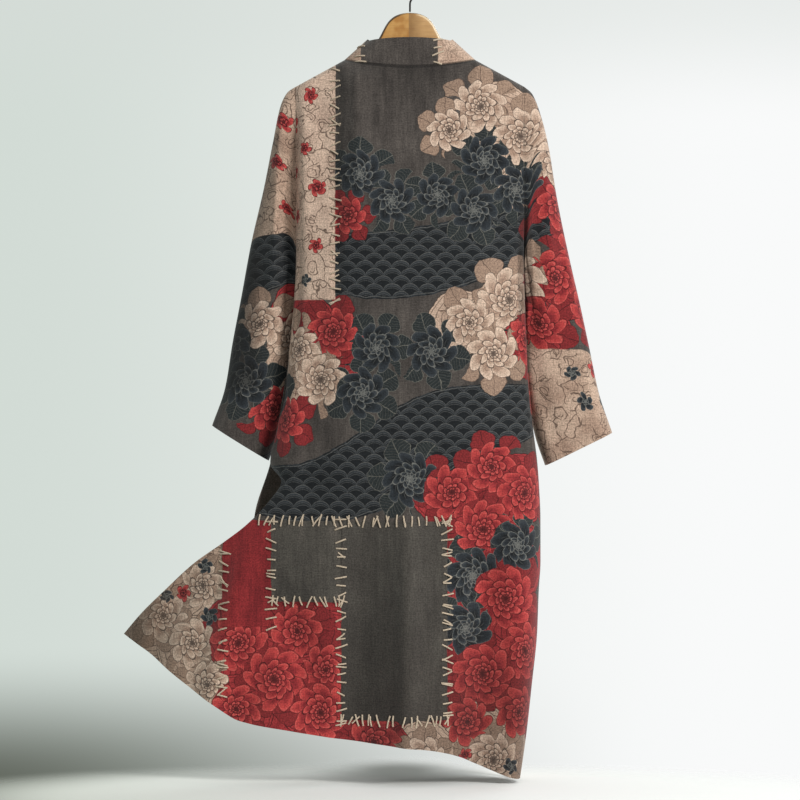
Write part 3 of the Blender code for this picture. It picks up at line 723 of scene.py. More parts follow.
    def flowers(self, blooms):
        """Full blooms of round petals that swirl inwards, each row over the one outside it."""
        distance, around, radius, petals, hue, twist = self.chosen(blooms, 1.0)
        height = 2 * math.pi * PETAL_HEIGHT / petals
        up = self.math("LOGARITHM", distance / radius, math.e) / height + (TOP_ROW + LOBE)
        row, middle, depth, near = self.scales(around * petals + up * twist, up)
        row_size = distance * height
        petal = distance * (2 * math.pi / petals)
        edge = self.math("MINIMUM", near, depth) * row_size
        lines = self.over(edge, 1.35, 0.6)
        lines = self.either(lines, self.over((0.5 - abs(middle)) * petal, 0.9, 0.4))
        strokes = self.math("FRACT", middle * 3 + depth * 0.5)
        strokes = self.over(abs(strokes - 0.5), 0.10, 0.04) * self.over(depth, 0.55, 0.95) * 0.4
        lines = self.either(lines, strokes)
        rim = self.over(abs(depth * row_size - 2.6), 1.5, 0.2) * 0.45
        eye = self.over(distance / radius, 0.13, 0.09)
        light = self.by_hue(hue, dye(208, 182, 162), dye(182, 65, 63), dye(46, 51, 56))
        deep = self.by_hue(hue, dye(164, 136, 118), dye(134, 40, 44), dye(24, 27, 30))
        line = self.by_hue(hue, dye(58, 46, 42), dye(48, 14, 18), dye(112, 112, 108))
        shade = self.over(depth + (self.noise(self.at, (12, 12, 12)) - 0.5) * 0.9, 0.1, 1.0)
        colour = self.blend(shade, light, deep)
        pale = self.by_hue(hue, dye(220, 196, 176), dye(204, 98, 91), dye(68, 73, 76))
        colour = self.blend(rim, colour, pale)
        colour = self.blend(self.either(lines, eye * 0.7) * 0.86, colour, line)
        shown = self.over(TOP_ROW + 0.5 - row, -0.01, 0.01) * self.over(hue, 0.4, 0.6)
        self.colour = self.blend(shown, self.colour, colour)

    def full_print(self):
        """The print that runs over the back and on over both sleeves."""
        self.hills(HILLS)
        self.waves()
        self.leaves(BLOOMS)
        self.flowers(BLOOMS)

    def seam(self, mask):
        """The dark line where two pieces of cloth are sewn edge to edge; given a wide box, it is painted
        shade along an armhole's trough instead.
        """
        self.colour = self.blend(mask * 0.75, self.colour, dye(34, 30, 28))
        self.raised = self.raised - mask * 0.8

    def patch(self, mask, dark, middle, pale):
        """A patch laid on the linen: its own dye and its raised edge."""
        self.colour = self.blend(mask, self.colour, self.charcoal(dark, middle, pale))
        self.raised = mask * 0.7 + self.raised

    def woven(self):
        """Slubs of warp and weft over the whole print, the paler reverse, and the weave's relief."""
        warp = self.noise(self.at, (2.0, 22, 1), 2.0, 0.6)
        weft = self.noise(self.at, (22, 2.0, 1), 2.0, 0.6)
        grain = self.noise(self.at, (2.6, 2.6, 1), 2.0, 0.7)
        light = (warp - 0.5) * 0.5 + (weft - 0.5) * 0.5 + (grain - 0.5) * 1.6
        colour = self.blend(self.attribute("reverse") * 0.55, self.colour, dye(148, 138, 126))
        shade = self.over(light, -0.4, 0.4)
        colour = self.blend(shade, self.scale(colour, 0.6), self.scale(colour, 1.37))
        ripple = self.noise(self.at, (60, 90, 60), 2.0)
        height = (warp + weft) * 0.45 + self.raised + ripple * 1.6
        return self.give(colour, None, height)


MOTIF_COLUMNS = "x z radius petals hue"
HILLS = Table(
    MOTIF_COLUMNS,
    (150, -250, 60, 0, HUE_BEIGE),
    (206, -318, 60, 0, HUE_BEIGE),
    (200, -380, 54, 0, HUE_BEIGE),
    (252, -440, 50, 0, HUE_RED),
    (84, -600, 56, 0, HUE_BEIGE),
    (160, -586, 62, 0, HUE_BEIGE),
    (250, -560, 60, 0, HUE_RED),
    (204, -640, 52, 0, HUE_RED),
    (-176, -606, 54, 0, HUE_RED),
    (-116, -640, 54, 0, HUE_RED),
    (-190, -690, 54, 0, HUE_BEIGE),
    (60, -880, 60, 0, HUE_RED),
    (190, -880, 62, 0, HUE_RED),
    (130, -900, 64, 0, HUE_RED),
    (90, -970, 60, 0, HUE_RED),
    (190, -1000, 64, 0, HUE_RED),
    (120, -1060, 66, 0, HUE_RED),
    (190, -1120, 62, 0, HUE_RED),
    (110, -1180, 66, 0, HUE_RED),
    (190, -1230, 64, 0, HUE_RED),
    (110, -1290, 56, 0, HUE_BEIGE),
    (180, -1330, 56, 0, HUE_BEIGE),
    (20, -1320, 58, 0, HUE_BEIGE),
    (-60, -1310, 60, 0, HUE_RED),
    (-380, -1050, 56, 0, HUE_BEIGE),
    (-440, -1110, 60, 0, HUE_BEIGE),
    (-370, -1150, 60, 0, HUE_BEIGE),
    (-290, -1120, 62, 0, HUE_RED),
    (-210, -1110, 64, 0, HUE_RED),
    (-140, -1140, 60, 0, HUE_RED),
    (-250, -1190, 66, 0, HUE_RED),
    (-170, -1220, 66, 0, HUE_RED),
    (-290, -1250, 62, 0, HUE_RED),
    (-120, -1290, 60, 0, HUE_RED),
    (-400, -560, 56, 0, HUE_RED),
    (-450, -640, 56, 0, HUE_BEIGE),
    (330, -330, 56, 0, HUE_BEIGE),
    (390, -420, 58, 0, HUE_RED),
    (450, -520, 56, 0, HUE_BEIGE),
)
BLOOMS = Table(
    MOTIF_COLUMNS,
    (118, -234, 46, 9, HUE_BEIGE),
    (66, -276, 38, 8, HUE_BEIGE),
    (188, -286, 50, 9, HUE_BEIGE),
    (126, -326, 44, 8, HUE_INK),
    (-84, -350, 42, 8, HUE_INK),
    (-30, -396, 40, 8, HUE_INK),
    (-104, -420, 32, 7, HUE_RED),
    (46, -386, 38, 8, HUE_INK),
    (108, -410, 42, 8, HUE_INK),
    (246, -352, 46, 8, HUE_BEIGE),
    (180, -376, 42, 8, HUE_INK),
    (248, -430, 42, 8, HUE_RED),
    (282, -496, 46, 8, HUE_RED),
    (232, -548, 46, 8, HUE_RED),
    (296, -596, 44, 8, HUE_RED),
    (166, -560, 54, 9, HUE_BEIGE),
    (100, -600, 44, 8, HUE_BEIGE),
    (204, -628, 44, 8, HUE_RED),
    (140, -652, 46, 8, HUE_BEIGE),
    (36, -648, 44, 8, HUE_INK),
    (-130, -616, 44, 9, HUE_RED),
    (-188, -644, 40, 8, HUE_BEIGE),
    (-56, -642, 42, 8, HUE_INK),
    (-150, -696, 46, 9, HUE_BEIGE),
    (-216, -762, 42, 8, HUE_RED),
    (-80, -718, 44, 8, HUE_INK),
    (0, -862, 48, 9, HUE_INK),
    (70, -884, 48, 8, HUE_RED),
    (136, -842, 44, 8, HUE_RED),
    (194, -886, 50, 9, HUE_RED),
    (124, -946, 52, 9, HUE_RED),
    (180, -974, 46, 8, HUE_INK),
    (106, -1026, 50, 9, HUE_INK),
    (160, -1062, 56, 9, HUE_RED),
    (94, -1112, 46, 8, HUE_INK),
    (196, -1150, 50, 9, HUE_RED),
    (122, -1190, 54, 9, HUE_RED),
    (186, -1252, 46, 8, HUE_RED),
    (96, -1268, 42, 8, HUE_RED),
    (-350, -1044, 40, 8, HUE_BEIGE),
    (-420, -1096, 46, 8, HUE_BEIGE),
    (-366, -1140, 44, 8, HUE_BEIGE),
    (-286, -1136, 50, 9, HUE_RED),
    (-190, -1116, 46, 8, HUE_RED),
    (-140, -1178, 44, 8, HUE_RED),
    (-226, -1196, 56, 9, HUE_RED),
    (-340, -1206, 40, 8, HUE_BEIGE),
    (-290, -1246, 44, 8, HUE_RED),
    (-150, -1250, 50, 9, HUE_RED),
    (-60, -1300, 46, 8, HUE_RED),
    (20, -1330, 42, 8, HUE_BEIGE),
    (140, -1334, 48, 9, HUE_BEIGE),
    (-244, -618, 42, 8, HUE_BEIGE),
    (-300, -650, 44, 8, HUE_INK),
    (-262, -716, 44, 8, HUE_INK),
    (-400, -560, 44, 8, HUE_RED),
    (-450, -480, 42, 8, HUE_BEIGE),
    (-470, -620, 46, 8, HUE_BEIGE),
    (300, -240, 44, 8, HUE_RED),
    (360, -320, 46, 8, HUE_BEIGE),
    (420, -400, 44, 8, HUE_RED),
    (400, -520, 46, 8, HUE_INK),
    (480, -600, 44, 8, HUE_RED),
    (300, -100, 46, 8, HUE_BEIGE),
)
SPRIGS = Table(
    MOTIF_COLUMNS,
    (-168, -214, 15, 5, HUE_RED),
    (-214, -262, 17, 5, HUE_RED),
    (-178, -306, 12, 5, HUE_RED),
    (-222, -342, 14, 5, HUE_RED),
    (-156, -372, 16, 5, HUE_RED),
    (-206, -418, 13, 5, HUE_RED),
    (-160, -470, 14, 5, HUE_RED),
    (-178, -528, 12, 5, HUE_INK),
    (252, -706, 13, 5, HUE_INK),
    (296, -694, 17, 5, HUE_RED),
    (270, -752, 15, 5, HUE_INK),
    (312, -744, 13, 5, HUE_INK),
    (-346, -1010, 14, 5, HUE_INK),
    (-384, -1056, 15, 5, HUE_RED),
    (-338, -1094, 16, 5, HUE_INK),
    (-414, -1064, 12, 5, HUE_INK),
    (172, -1344, 15, 5, HUE_INK),
    (92, -1322, 12, 5, HUE_RED),
)
STREAMS = (
    ((420, -300, 30), (260, -430, 34), (150, -462, 50), (60, -490, 58), (-40, -506, 58), (-130, -500, 52),
     (-240, -506, 54), (-330, -540, 58), (-520, -420, 28)),
    ((520, -740, 26), (280, -740, 34), (150, -756, 56), (40, -780, 70), (-60, -850, 68), (-160, -890, 54),
     (-260, -880, 40)),
)


def smooth_route(points, rounds=4):
    """A route with its corners cut until it is a smooth curve."""
    route = np.array(points, float)
    for _ in range(rounds):
        cut = np.stack([route[:-1] * 0.75 + route[1:] * 0.25, route[:-1] * 0.25 + route[1:] * 0.75], 1)
        route = np.concatenate([route[:1], cut.reshape(-1, route.shape[1]), route[-1:]])
    return route


def stream_map(prints, streams):
    """Each place's distance across its nearest stream and down it, and the half width there."""
    best = np.full(prints.shape[:2], 1e9)
    result = np.zeros((*prints.shape[:2], 3))
    for stream in streams:
        route = smooth_route(stream)
        way = np.gradient(route[:, :2], axis=0)
        way /= np.linalg.norm(way, axis=1, keepdims=True)
        down = np.concatenate([[0], np.cumsum(np.linalg.norm(np.diff(route[:, :2], axis=0), axis=1))])
        gaps = np.linalg.norm(prints[:, :, None] - route[None, None, :, :2], axis=3)
        nearest = gaps.argmin(axis=2)
        offset = prints - route[nearest][..., :2]
        across = offset[..., 0] * -way[nearest][..., 1] + offset[..., 1] * way[nearest][..., 0]
        along = down[nearest] + np.sum(offset * way[nearest], axis=2)
        closer = gaps.min(axis=2) < best
        best = np.where(closer, gaps.min(axis=2), best)
        found = np.stack([across, along, route[nearest][..., 2]], -1)
        result = np.where(closer[..., None], found, result)
    return result


RED_FIELD, CORNER_FIELD = (-330, -112, -1500, -1040), (-600, -317, -1300, -900)
BACK_HEM, BACK_STRIP = (-25, 260, -1500, -1296), (-400, -126, -561, -100)
RED_PATCH, SMALL_PATCH = (-316, -233, -1109, -932), (-233, -112, -1067, -932)
LARGE_PATCH, BACK_ARMHOLE_SHADE = (-115, 62, -1264, -932), (187, 230, -600, -400)
IN_FRONT = np.array((0, 400, -700))


def back_print():
    """The dyed fields, the print, the patches and the seams, then painted shade: on the large patch,
    along the right armhole, under the collar, low on the right and at the wing's tip.
    """
    linen = PrintedLinen("printed_linen_back")
    linen.area(linen.box(*RED_FIELD), RED, RED_DEEP)
    linen.batik(linen.either(linen.box(*CORNER_FIELD), linen.box(*BACK_HEM)))
    linen.full_print()
    linen.batik(linen.box(*BACK_STRIP), dye(212, 185, 165), dye(190, 163, 145))
    linen.flowers(SPRIGS)
    linen.patch(linen.box(*RED_PATCH), dye(112, 32, 36), dye(134, 40, 43), dye(152, 50, 50))
    linen.patch(linen.box(*SMALL_PATCH), dye(66, 62, 58), dye(80, 76, 70), dye(94, 88, 82))
    large = linen.box(*LARGE_PATCH)
    linen.patch(large, dye(65, 61, 57), dye(75, 71, 66), dye(86, 82, 76))
    # Painted shade on the large patch, darker to its left and more so lower down.
    darker = linen.over(linen.u, 10, -40) * (linen.over(linen.v, -960, -1200) * 0.35 + 0.12)
    linen.area(large * darker, dye(46, 43, 40))
    u, v, _w = linen.split(linen.at)
    neckline = u * u * (NECK_SCOOP / NECK_HALF_WIDTH ** 2) + (NECK_Z - NECK_SCOOP)
    within_neck = linen.over(abs(u), NECK_HALF_WIDTH + 2, NECK_HALF_WIDTH - 2)
    linen.seam(linen.over(neckline - v, 4.0, 1.2) * within_neck)
    # Painted shade along the right armhole's trough, laid on as a wide seam.
    linen.seam(linen.box(*BACK_ARMHOLE_SHADE, 3) * 0.6)
    # Painted shade under the collar, deepened by a darker cloud of dye just right of the middle.
    below_neck = linen.over(neckline - v, 75, 0) * linen.over(abs(u), 125, 100)
    linen.area(below_neck * (linen.over(abs(u - 20), 55, 10) * 0.4 + 0.25), dye(40, 37, 35))
    # Painted shade, deepening towards the hem over the right half.
    shaded_low_right = linen.over(v, -1060, -1260) * linen.over(u, -130, -20)
    linen.area(shaded_low_right * 0.4, dye(34, 26, 24))
    # Painted shade over the tip of the blown-out corner.
    shaded_wing_tip = linen.over(u, -370, -480) * linen.over(v, -900, -950)
    linen.area(shaded_wing_tip * 0.7, dye(80, 66, 54))
    return linen.woven()


back_t = np.sin(np.linspace(-math.pi / 2, math.pi / 2, BACK_STEPS_ACROSS))[None, :]
back_share = panel_shares(BACK_STEPS_DOWN)
back_grid = back_points(back_share, back_t)
back_map = print_map(back_grid, back_t, BACK_EDGES.at("wing", back_share))
back = cloth("back_panel", back_grid, back_map, IN_FRONT, streams=stream_map(back_map, STREAMS))
dress(back, back_print(), "back")


# The fronts
# Two panels that hang open behind the back, sewn to it at the shoulders and down the sides as far
# as the vents. The neck band is sewn to their inner edges.

FRONT_STEPS_DOWN, FRONT_STEPS_ACROSS = 150, 61
FRONT_STRIP, FRONT_HEM = (-400, -30, -470, -100), (-400, 400, -1600, -1290)
RISE_POWER, HELD_TO = 1.2, 0.15
BEHIND = np.array((0, -400, -700))
FRONT_COLUMNS = "share side_x side_y side_z inner_x rise depth"
FRONT_LEFT = Table(
    FRONT_COLUMNS,
    (0.000, -193, 0, -198, -112, 0, 0),
    (0.012, -193, 0, -212, -110, 0, 22),
    (0.050, -193, 0, -257, -103, 0, 36),
    (0.130, -193, 0, -353, -91, 0, 48),
    (0.242, -193, 0, -483, -82, 0, 58),
    (0.376, -204, 0, -639, -76, 0, 66),
    (0.497, -226, 0, -781, -74, 0, 72),
    (0.5455, -237, 0, -837, -74, 0, 75),
    (0.625, -263, 4, -921, -78, 6, 80),
    (0.728, -276, 10, -1034, -86, 16, 86),
    (0.865, -282, 16, -1150, -98, 34, 92),
    (1.000, -286, 20, -1230, -112, 50, 96),
)
FRONT_RIGHT = Table(
    FRONT_COLUMNS,
    (0.000, 193, 0, -198, 112, 0, 0),
    (0.012, 193, 0, -212, 110, 0, 22),
    (0.050, 193, 0, -257, 103, 0, 36),
    (0.130, 193, 0, -353, 91, 0, 48),
    (0.242, 193, 0, -483, 82, 0, 58),
    (0.376, 198, 0, -639, 76, 0, 66),
    (0.497, 209, 0, -781, 74, 0, 72),
    (0.5455, 216, 0, -837, 72, 0, 75),
    (0.625, 221, 3, -930, 69, 0, 80),
    (0.728, 217, 6, -1050, 66, -8, 86),
    (0.865, 204, 9, -1210, 62, -26, 92),
    (1.000, 184, 12, -1362, 58, -52, 96),
)
FRONT_FOLDS = Table(
    FOLD_COLUMNS,
    (-140, -520, -150, -1420, 26, 9),
    (-200, -900, -232, -1420, 26, -10),
    (140, -560, 146, -1420, 26, 9),
    (104, -760, 98, -1420, 20, -7),
)
FRONT_CREASES = Table(
    FOLD_COLUMNS,
    (-150, -230, -130, -520, 10, 2.4),
    (-110, -700, -118, -1180, 10, 2.4),
    (-176, -640, -186, -1000, 12, 2.2),
    (-240, -1000, -262, -1420, 10, 2.4),
    (150, -230, 128, -520, 10, 2.4),
    (176, -640, 184, -1100, 12, 2.6),
    (118, -960, 124, -1420, 10, 2.4),
    (80, -1000, 78, -1420, 9, -2.0),
)


def front_points(table, share, t):
    """Points of a front's outer face, t 0 at the neck band's seam and 1 at the side."""
    read = lambda name: table.at(name, share)
    side_x = read("side_x")
    x = read("inner_x") + (side_x - read("inner_x")) * t
    across = abs(x / side_x)
    bulge = rounding(across)
    depth = table.at("depth", np.maximum(share, SHOULDER_ROLLS))
    y = depth * bulge + (armhole_depth(read("side_z")) + read("side_y")) * (1 - bulge) ** SEAM_POWER
    y = np.where(share < SHOULDER_ROLLS, rolled(share, 0, y), y)
    z = read("side_z") + shoulder_rise(x) * slope_left(share) - read("rise") * (1 - t) ** RISE_POWER
    held = np.where(share < VENT_STARTS, fade(1.0, SEWN_FROM, across), 1) * fade(0, FREE_FROM, share)
    creases = folded(FRONT_CREASES, x, z) * fade(0, HELD_TO, t)
    y = y - (folded(FRONT_FOLDS, x, z) + creases) * held
    return np.stack(np.broadcast_arrays(x, y, z), -1)


FRONT_LEFT_BLOOMS = Table(
    MOTIF_COLUMNS,
    (-150, -560, 44, 8, HUE_BEIGE),
    (-104, -640, 46, 8, HUE_RED),
    (-190, -700, 48, 9, HUE_INK),
    (-130, -780, 44, 8, HUE_BEIGE),
    (-190, -880, 50, 9, HUE_INK),
    (-110, -940, 48, 8, HUE_RED),
    (-220, -1000, 46, 8, HUE_BEIGE),
    (-150, -1060, 50, 9, HUE_RED),
    (-240, -1120, 46, 8, HUE_RED),
    (-170, -1190, 48, 8, HUE_BEIGE),
)
FRONT_RIGHT_BLOOMS = Table(
    MOTIF_COLUMNS,
    (150, -300, 44, 8, HUE_BEIGE),
    (110, -400, 46, 8, HUE_RED),
    (170, -470, 44, 8, HUE_BEIGE),
    (110, -640, 48, 9, HUE_INK),
    (180, -720, 46, 8, HUE_RED),
    (100, -820, 46, 8, HUE_BEIGE),
    (170, -900, 50, 9, HUE_RED),
    (100, -980, 48, 8, HUE_RED),
    (180, -1060, 46, 8, HUE_BEIGE),
    (110, -1150, 50, 9, HUE_RED),
    (180, -1230, 48, 8, HUE_RED),
    (110, -1310, 46, 8, HUE_BEIGE),
)


def front_print(name, blooms, has_strip):
    linen = PrintedLinen(name)
    linen.area(linen.box(*FRONT_HEM), BEIGE, BEIGE_DEEP)
    linen.leaves(blooms)
    linen.flowers(blooms)
    if has_strip:
        linen.batik(linen.box(*FRONT_STRIP))
    return linen.woven()


front_share = panel_shares(FRONT_STEPS_DOWN)
front_t = np.sin(np.linspace(0, math.pi / 2, FRONT_STEPS_ACROSS))[None, :]
fronts = {}
for name, table, blooms in (
    ("front_left", FRONT_LEFT, FRONT_LEFT_BLOOMS),
    ("front_right", FRONT_RIGHT, FRONT_RIGHT_BLOOMS),
):
    grid = front_points(table, front_share, front_t)
    fronts[name] = cloth(name + "_panel", grid, grid[:, :, [0, 2]], BEHIND)
    linen = front_print("printed_linen_" + name, blooms, name == "front_left")
    dress(fronts[name], linen, name)


# The neck band
# A doubled strip that stands round the back of the neck and runs down both fronts to the hem. It is
# charcoal behind the neck and pieced on with beige strips at both sides.

BAND_WIDTH, BAND_GAP, BAND_CLOTH = 50, 0.4, 2.4
BAND_TOP_Z, BAND_TOP_DIP, BAND_TOP_HALF_WIDTH, BAND_TOP_DEPTH = -118, 3, 70, 40
BAND_JOINS, BAND_PIECE = (-83, 47), 420
BAND_LIES_DOWN, BAND_LEAN = 0.13, 0.25
BAND_STEPS_AROUND, BAND_STEPS_UP = 81, 17
CORNER_REACH = 70
STANDING, LYING = np.array((0.80, 0, 0.72)), np.array((0.99, 0.05, 0))
WITHIN = np.array((0, 0, -700))


def band_reach(share):
    """From the seam to the band's free edge on a front, in the band's widths along x, y and z."""
    lying = fade(0, BAND_LIES_DOWN, share)
    forward = BAND_LEAN * np.sin(math.pi * np.minimum(share / BAND_LIES_DOWN, 1))
    return STANDING + (LYING - STANDING) * lying + forward * (0, 1, 0)


def band_edges():
    """The seam and the free edge, from the left hem round the neck to the right hem."""
    sides = []
    for table, side in ((FRONT_LEFT, -1), (FRONT_RIGHT, 1)):
        seam = front_points(table, front_share, np.zeros((1, 1)))[:, 0]
        sides.append((seam, seam + band_reach(front_share) * BAND_WIDTH * (-side, 1, 1)))
    around = np.linspace(-1, 1, BAND_STEPS_AROUND)[1:-1]
    neck = back_points(np.zeros((1, 1)), around[None, :] * NECK_HALF_WIDTH / SHOULDER_HALF_WIDTH)[0]
    depth = -BAND_TOP_DEPTH * np.sqrt(1 - around ** 2)
    top = np.stack([BAND_TOP_HALF_WIDTH * around, depth, BAND_TOP_Z - BAND_TOP_DIP * around ** 2], -1)
    (left_seam, left_free), (right_seam, right_free) = sides
    seam = np.concatenate([left_seam[::-1], neck, right_seam])
    free = np.concatenate([left_free[::-1], top, right_free])
    return seam, free


seam, free = band_edges()
way = (free - seam) / np.linalg.norm(free - seam, axis=1, keepdims=True)
start = seam + way * BAND_GAP
over_band = np.linspace(0, 1, BAND_STEPS_UP)[None, :, None]
band_grid = start[:, None] + (free - start)[:, None] * over_band
band_length = arc_lengths(band_grid, 0)[:, [BAND_STEPS_UP // 2]]
band_u = band_grid[:, :, 0].copy()
count = FRONT_STEPS_DOWN
for corner, rows in ((count, slice(0, count)), (-count - 1, slice(-count, None))):
    beyond = band_length[rows] - band_length[corner]
    offset = band_u[corner] - band_u[corner].mean()
    band_u[rows] = band_u[corner].mean() + beyond + offset * np.exp(-abs(beyond) / CORNER_REACH)
band_map = np.stack(np.broadcast_arrays(band_u, over_band[..., 0] * BAND_WIDTH), -1)
band = cloth("neck_band_strip", band_grid, band_map, WITHIN, BAND_CLOTH)


def band_print():
    linen = PrintedLinen("printed_linen_band")
    left_join, right_join = BAND_JOINS
    for left, right in ((left_join - BAND_PIECE, left_join), (right_join, right_join + BAND_PIECE)):
        linen.batik(linen.box(left, right, -BAND_WIDTH, 2 * BAND_WIDTH, 0.7), size=44, strength=0.45)
    linen.seam(linen.over(linen.split(linen.at)[1], 3.5, 1.0))
    return linen.woven()


dress(band, band_print(), "neck_band")


# The sleeves
# Each is one piece, folded along its top and sewn underneath, that tapers from the armhole to an
# open cuff. They hang a little bent, so they crease at the elbow and under the arm.

RINGS, RING_POINTS, RINGS_CLOSE_AT_TOP = 130, 145, 1.15
CREASE_LENGTH, CREASE_RADIUS = 300, 52
RING_COLUMNS = "share outer_x outer_z inner_x inner_z forward half_depth"
SLEEVE_LEFT = Table(
    RING_COLUMNS,
    (0.00, -193.3, -198, -193.3, -483, 0, 38),
    (0.045, -207, -207, -193.2, -486, 2, 42),
    (0.10, -219, -229, -192.8, -492, 4, 45),
    (0.22, -233, -292, -192.6, -520, 16, 48),
    (0.36, -249, -370, -194.5, -572, 28, 48),
    (0.50, -271, -463, -196, -632, 40, 47),
    (0.64, -288, -554, -202, -692, 44, 46),
    (0.77, -303, -632, -212, -744, 46, 46),
    (0.89, -316, -710, -226, -792, 46, 45),
    (1.00, -338, -773, -241, -833, 46, 45),
)
SLEEVE_RIGHT = Table(
    RING_COLUMNS,
    (0.00, 193.3, -198, 193.3, -483, 0, 38),
    (0.045, 207, -210, 193.2, -486, 2, 42),
    (0.10, 219, -238, 193, -492, 4, 45),
    (0.22, 235, -298, 193, -520, 16, 48),
    (0.36, 250, -386, 195, -572, 28, 48),
    (0.50, 270, -480, 193, -632, 40, 48),
    (0.64, 290, -566, 197, -692, 44, 48),
    (0.77, 306, -640, 204, -744, 46, 48),
    (0.89, 322, -716, 215, -794, 46, 48),
    (1.00, 345, -785, 231, -841, 44, 48),
)
SLEEVE_CREASES = Table(
    "start_turn start_share end_turn end_share half_width depth",
    (-150, 0.10, -118, 0.52, 12, 4.0),
    (-64, 0.18, -92, 0.62, 11, -3.0),
    (-168, 0.36, -96, 0.50, 14, 4.5),
    (-160, 0.52, -80, 0.60, 13, 4.0),
    (-44, 0.48, -84, 0.56, 12, 3.0),
    (-120, 0.62, -104, 1.02, 13, 3.5),
    (-58, 0.66, -62, 1.04, 12, -2.6),
    (150, 0.10, 118, 0.52, 12, 4.0),
    (168, 0.36, 96, 0.50, 14, 4.5),
    (160, 0.54, 80, 0.62, 13, 4.0),
    (110, 0.64, 100, 1.02, 13, 3.5),
    (60, 0.70, 64, 1.04, 12, -2.6),
)


def sleeve_points(table, share, turn, flatness):
    """Rings of a sleeve: turn 0 at its top fold, -90 degrees behind and 180 at its seam."""
    read = lambda name: table.at(name, share)[..., None]
    outer = np.concatenate([read("outer_x"), read("forward"), read("outer_z")], -1)
    inner = np.concatenate([read("inner_x"), read("forward"), read("inner_z")], -1)
    middle, reach = (outer + inner) / 2, (outer - inner) / 2
    deep = np.concatenate([0 * read("half_depth"), read("half_depth"), 0 * read("half_depth")], -1)
    creased = 0
    for turn_a, share_a, turn_b, share_b, half_width, depth in SLEEVE_CREASES.rows():
        a, b = np.array((turn_a, share_a * CREASE_LENGTH)), np.array((turn_b, share_b * CREASE_LENGTH))
        way = (b - a) / np.linalg.norm(b - a)
        here = np.stack(np.broadcast_arrays(np.degrees(turn), share * CREASE_LENGTH), -1) - a
        along = here @ way / np.linalg.norm(b - a)
        across = (here @ np.array((-way[1], way[0]))) / half_width
        ends = fade(-0.15, 0.25, along) * fade(1.15, 0.8, along)
        creased = creased + depth * np.exp(-across ** 2) * ends
    held = 1 - (creased * fade(0.03, 0.12, share) / CREASE_RADIUS)[..., None]
    flatter = 1 - flatness * fade(0.0, 0.2, share)
    cos, sin = (np.sign(part) * abs(part) ** flatter for part in (np.cos(turn), np.sin(turn)))
    points = middle + (reach * cos[..., None] + deep * sin[..., None]) * held
    drawn = tucked(points[..., 0], points[..., 2]) * np.maximum(0, -np.sin(turn))
    return points + drawn[..., None] * (0, 1, 0)


def sleeve_map(grid, table, share, turn):
    """The back's print carried on over the sleeve, and past its top fold as if it were unfolded."""
    outer = np.stack([table.at("outer_x", share), table.at("outer_z", share)], -1)
    inner = np.stack([table.at("inner_x", share), table.at("inner_z", share)], -1)
    chord = np.linalg.norm(outer - inner, axis=-1)
    round_about = arc_lengths(grid, 1)
    real = round_about - round_about[:, [grid.shape[1] // 2]]
    flat = (1 - np.cos(turn)) * chord / 2
    reach = flat + (abs(real) - flat) * fade(0, 0.2, share)
    down = (inner - outer) / chord[..., None]
    fold_line = outer[-1] - outer[0]
    fold_line = fold_line / np.linalg.norm(fold_line)
    unfolded = 2 * fold_line * (down @ fold_line[0])[..., None] - down
    return outer + np.where(turn[..., None] > 0, unfolded, down) * reach[..., None]


FOLD_SLOPE, FOLD_AT = 0.2, 175
LOW_FOLD_SHADE, SLEEVE_ARMHOLE_SHADE = (-328, -245, -728, -500), (180, 200, -600, -400)
SLEEVE_SHADE = dye(22, 21, 20)


def sleeve_print(name, beige_boxes):
    """The back's print carried on, with painted shade along the left sleeve's outer fold and low down on
    it, or painted shade along the right sleeve's armhole.
    """
    linen = PrintedLinen(name)
    linen.full_print()
    for box in beige_boxes:
        linen.batik(linen.box(*box))
    linen.flowers(SPRIGS)
    if name.endswith("left"):
        # Painted shade along the left sleeve's outer fold and over its low outer part.
        inward = linen.u - linen.v * FOLD_SLOPE + FOLD_AT
        along_fold = linen.over(linen.v, -270, -320) * linen.over(linen.v, -760, -720)
        shaded_outer_edge = linen.over(inward, 34, 4) * linen.over(inward, -40, -15) * along_fold
        linen.area(shaded_outer_edge * 0.45, SLEEVE_SHADE)
        linen.area(linen.box(*LOW_FOLD_SHADE, 12) * 0.62, SLEEVE_SHADE)
    else:
        # Painted shade along the right sleeve's armhole trough, laid on as a wide seam.
        linen.seam(linen.box(*SLEEVE_ARMHOLE_SHADE, 3) * 0.7)
    return linen.woven()


SLEEVE_LEFT_BEIGE = ((-700, -150, -468, 200), (-700, -330, -900, -720))
SLEEVE_RIGHT_BEIGE = ((100, 700, -900, -668),)
ring_share = np.linspace(0, 1, RINGS)[:, None] ** RINGS_CLOSE_AT_TOP
ring_turn = np.linspace(-math.pi, math.pi, RING_POINTS)[None, :]
sleeves = {}
for name, table, flatness, beige in (
    ("sleeve_left", SLEEVE_LEFT, 0.0, SLEEVE_LEFT_BEIGE),
    ("sleeve_right", SLEEVE_RIGHT, 0.4, SLEEVE_RIGHT_BEIGE),
):
    grid = sleeve_points(table, ring_share, ring_turn, flatness)
    prints = sleeve_map(grid, table, ring_share, ring_turn)
    grid = grid[:, :-1]
    centre = grid.mean(axis=1, keepdims=True)
    streams = stream_map(prints[:, :-1], STREAMS)
    sleeves[name] = cloth(name + "_tube", grid, prints, centre, LINEN, True, streams)
    dress(sleeves[name], sleeve_print("printed_linen_" + name, beige), name)


# The hand stitching
# Thick cream cotton thread, whipped over the edges of the patches in uneven single stitches and
# crosses, proud of the linen. It holds patches to the back and pieces of the neck band together.

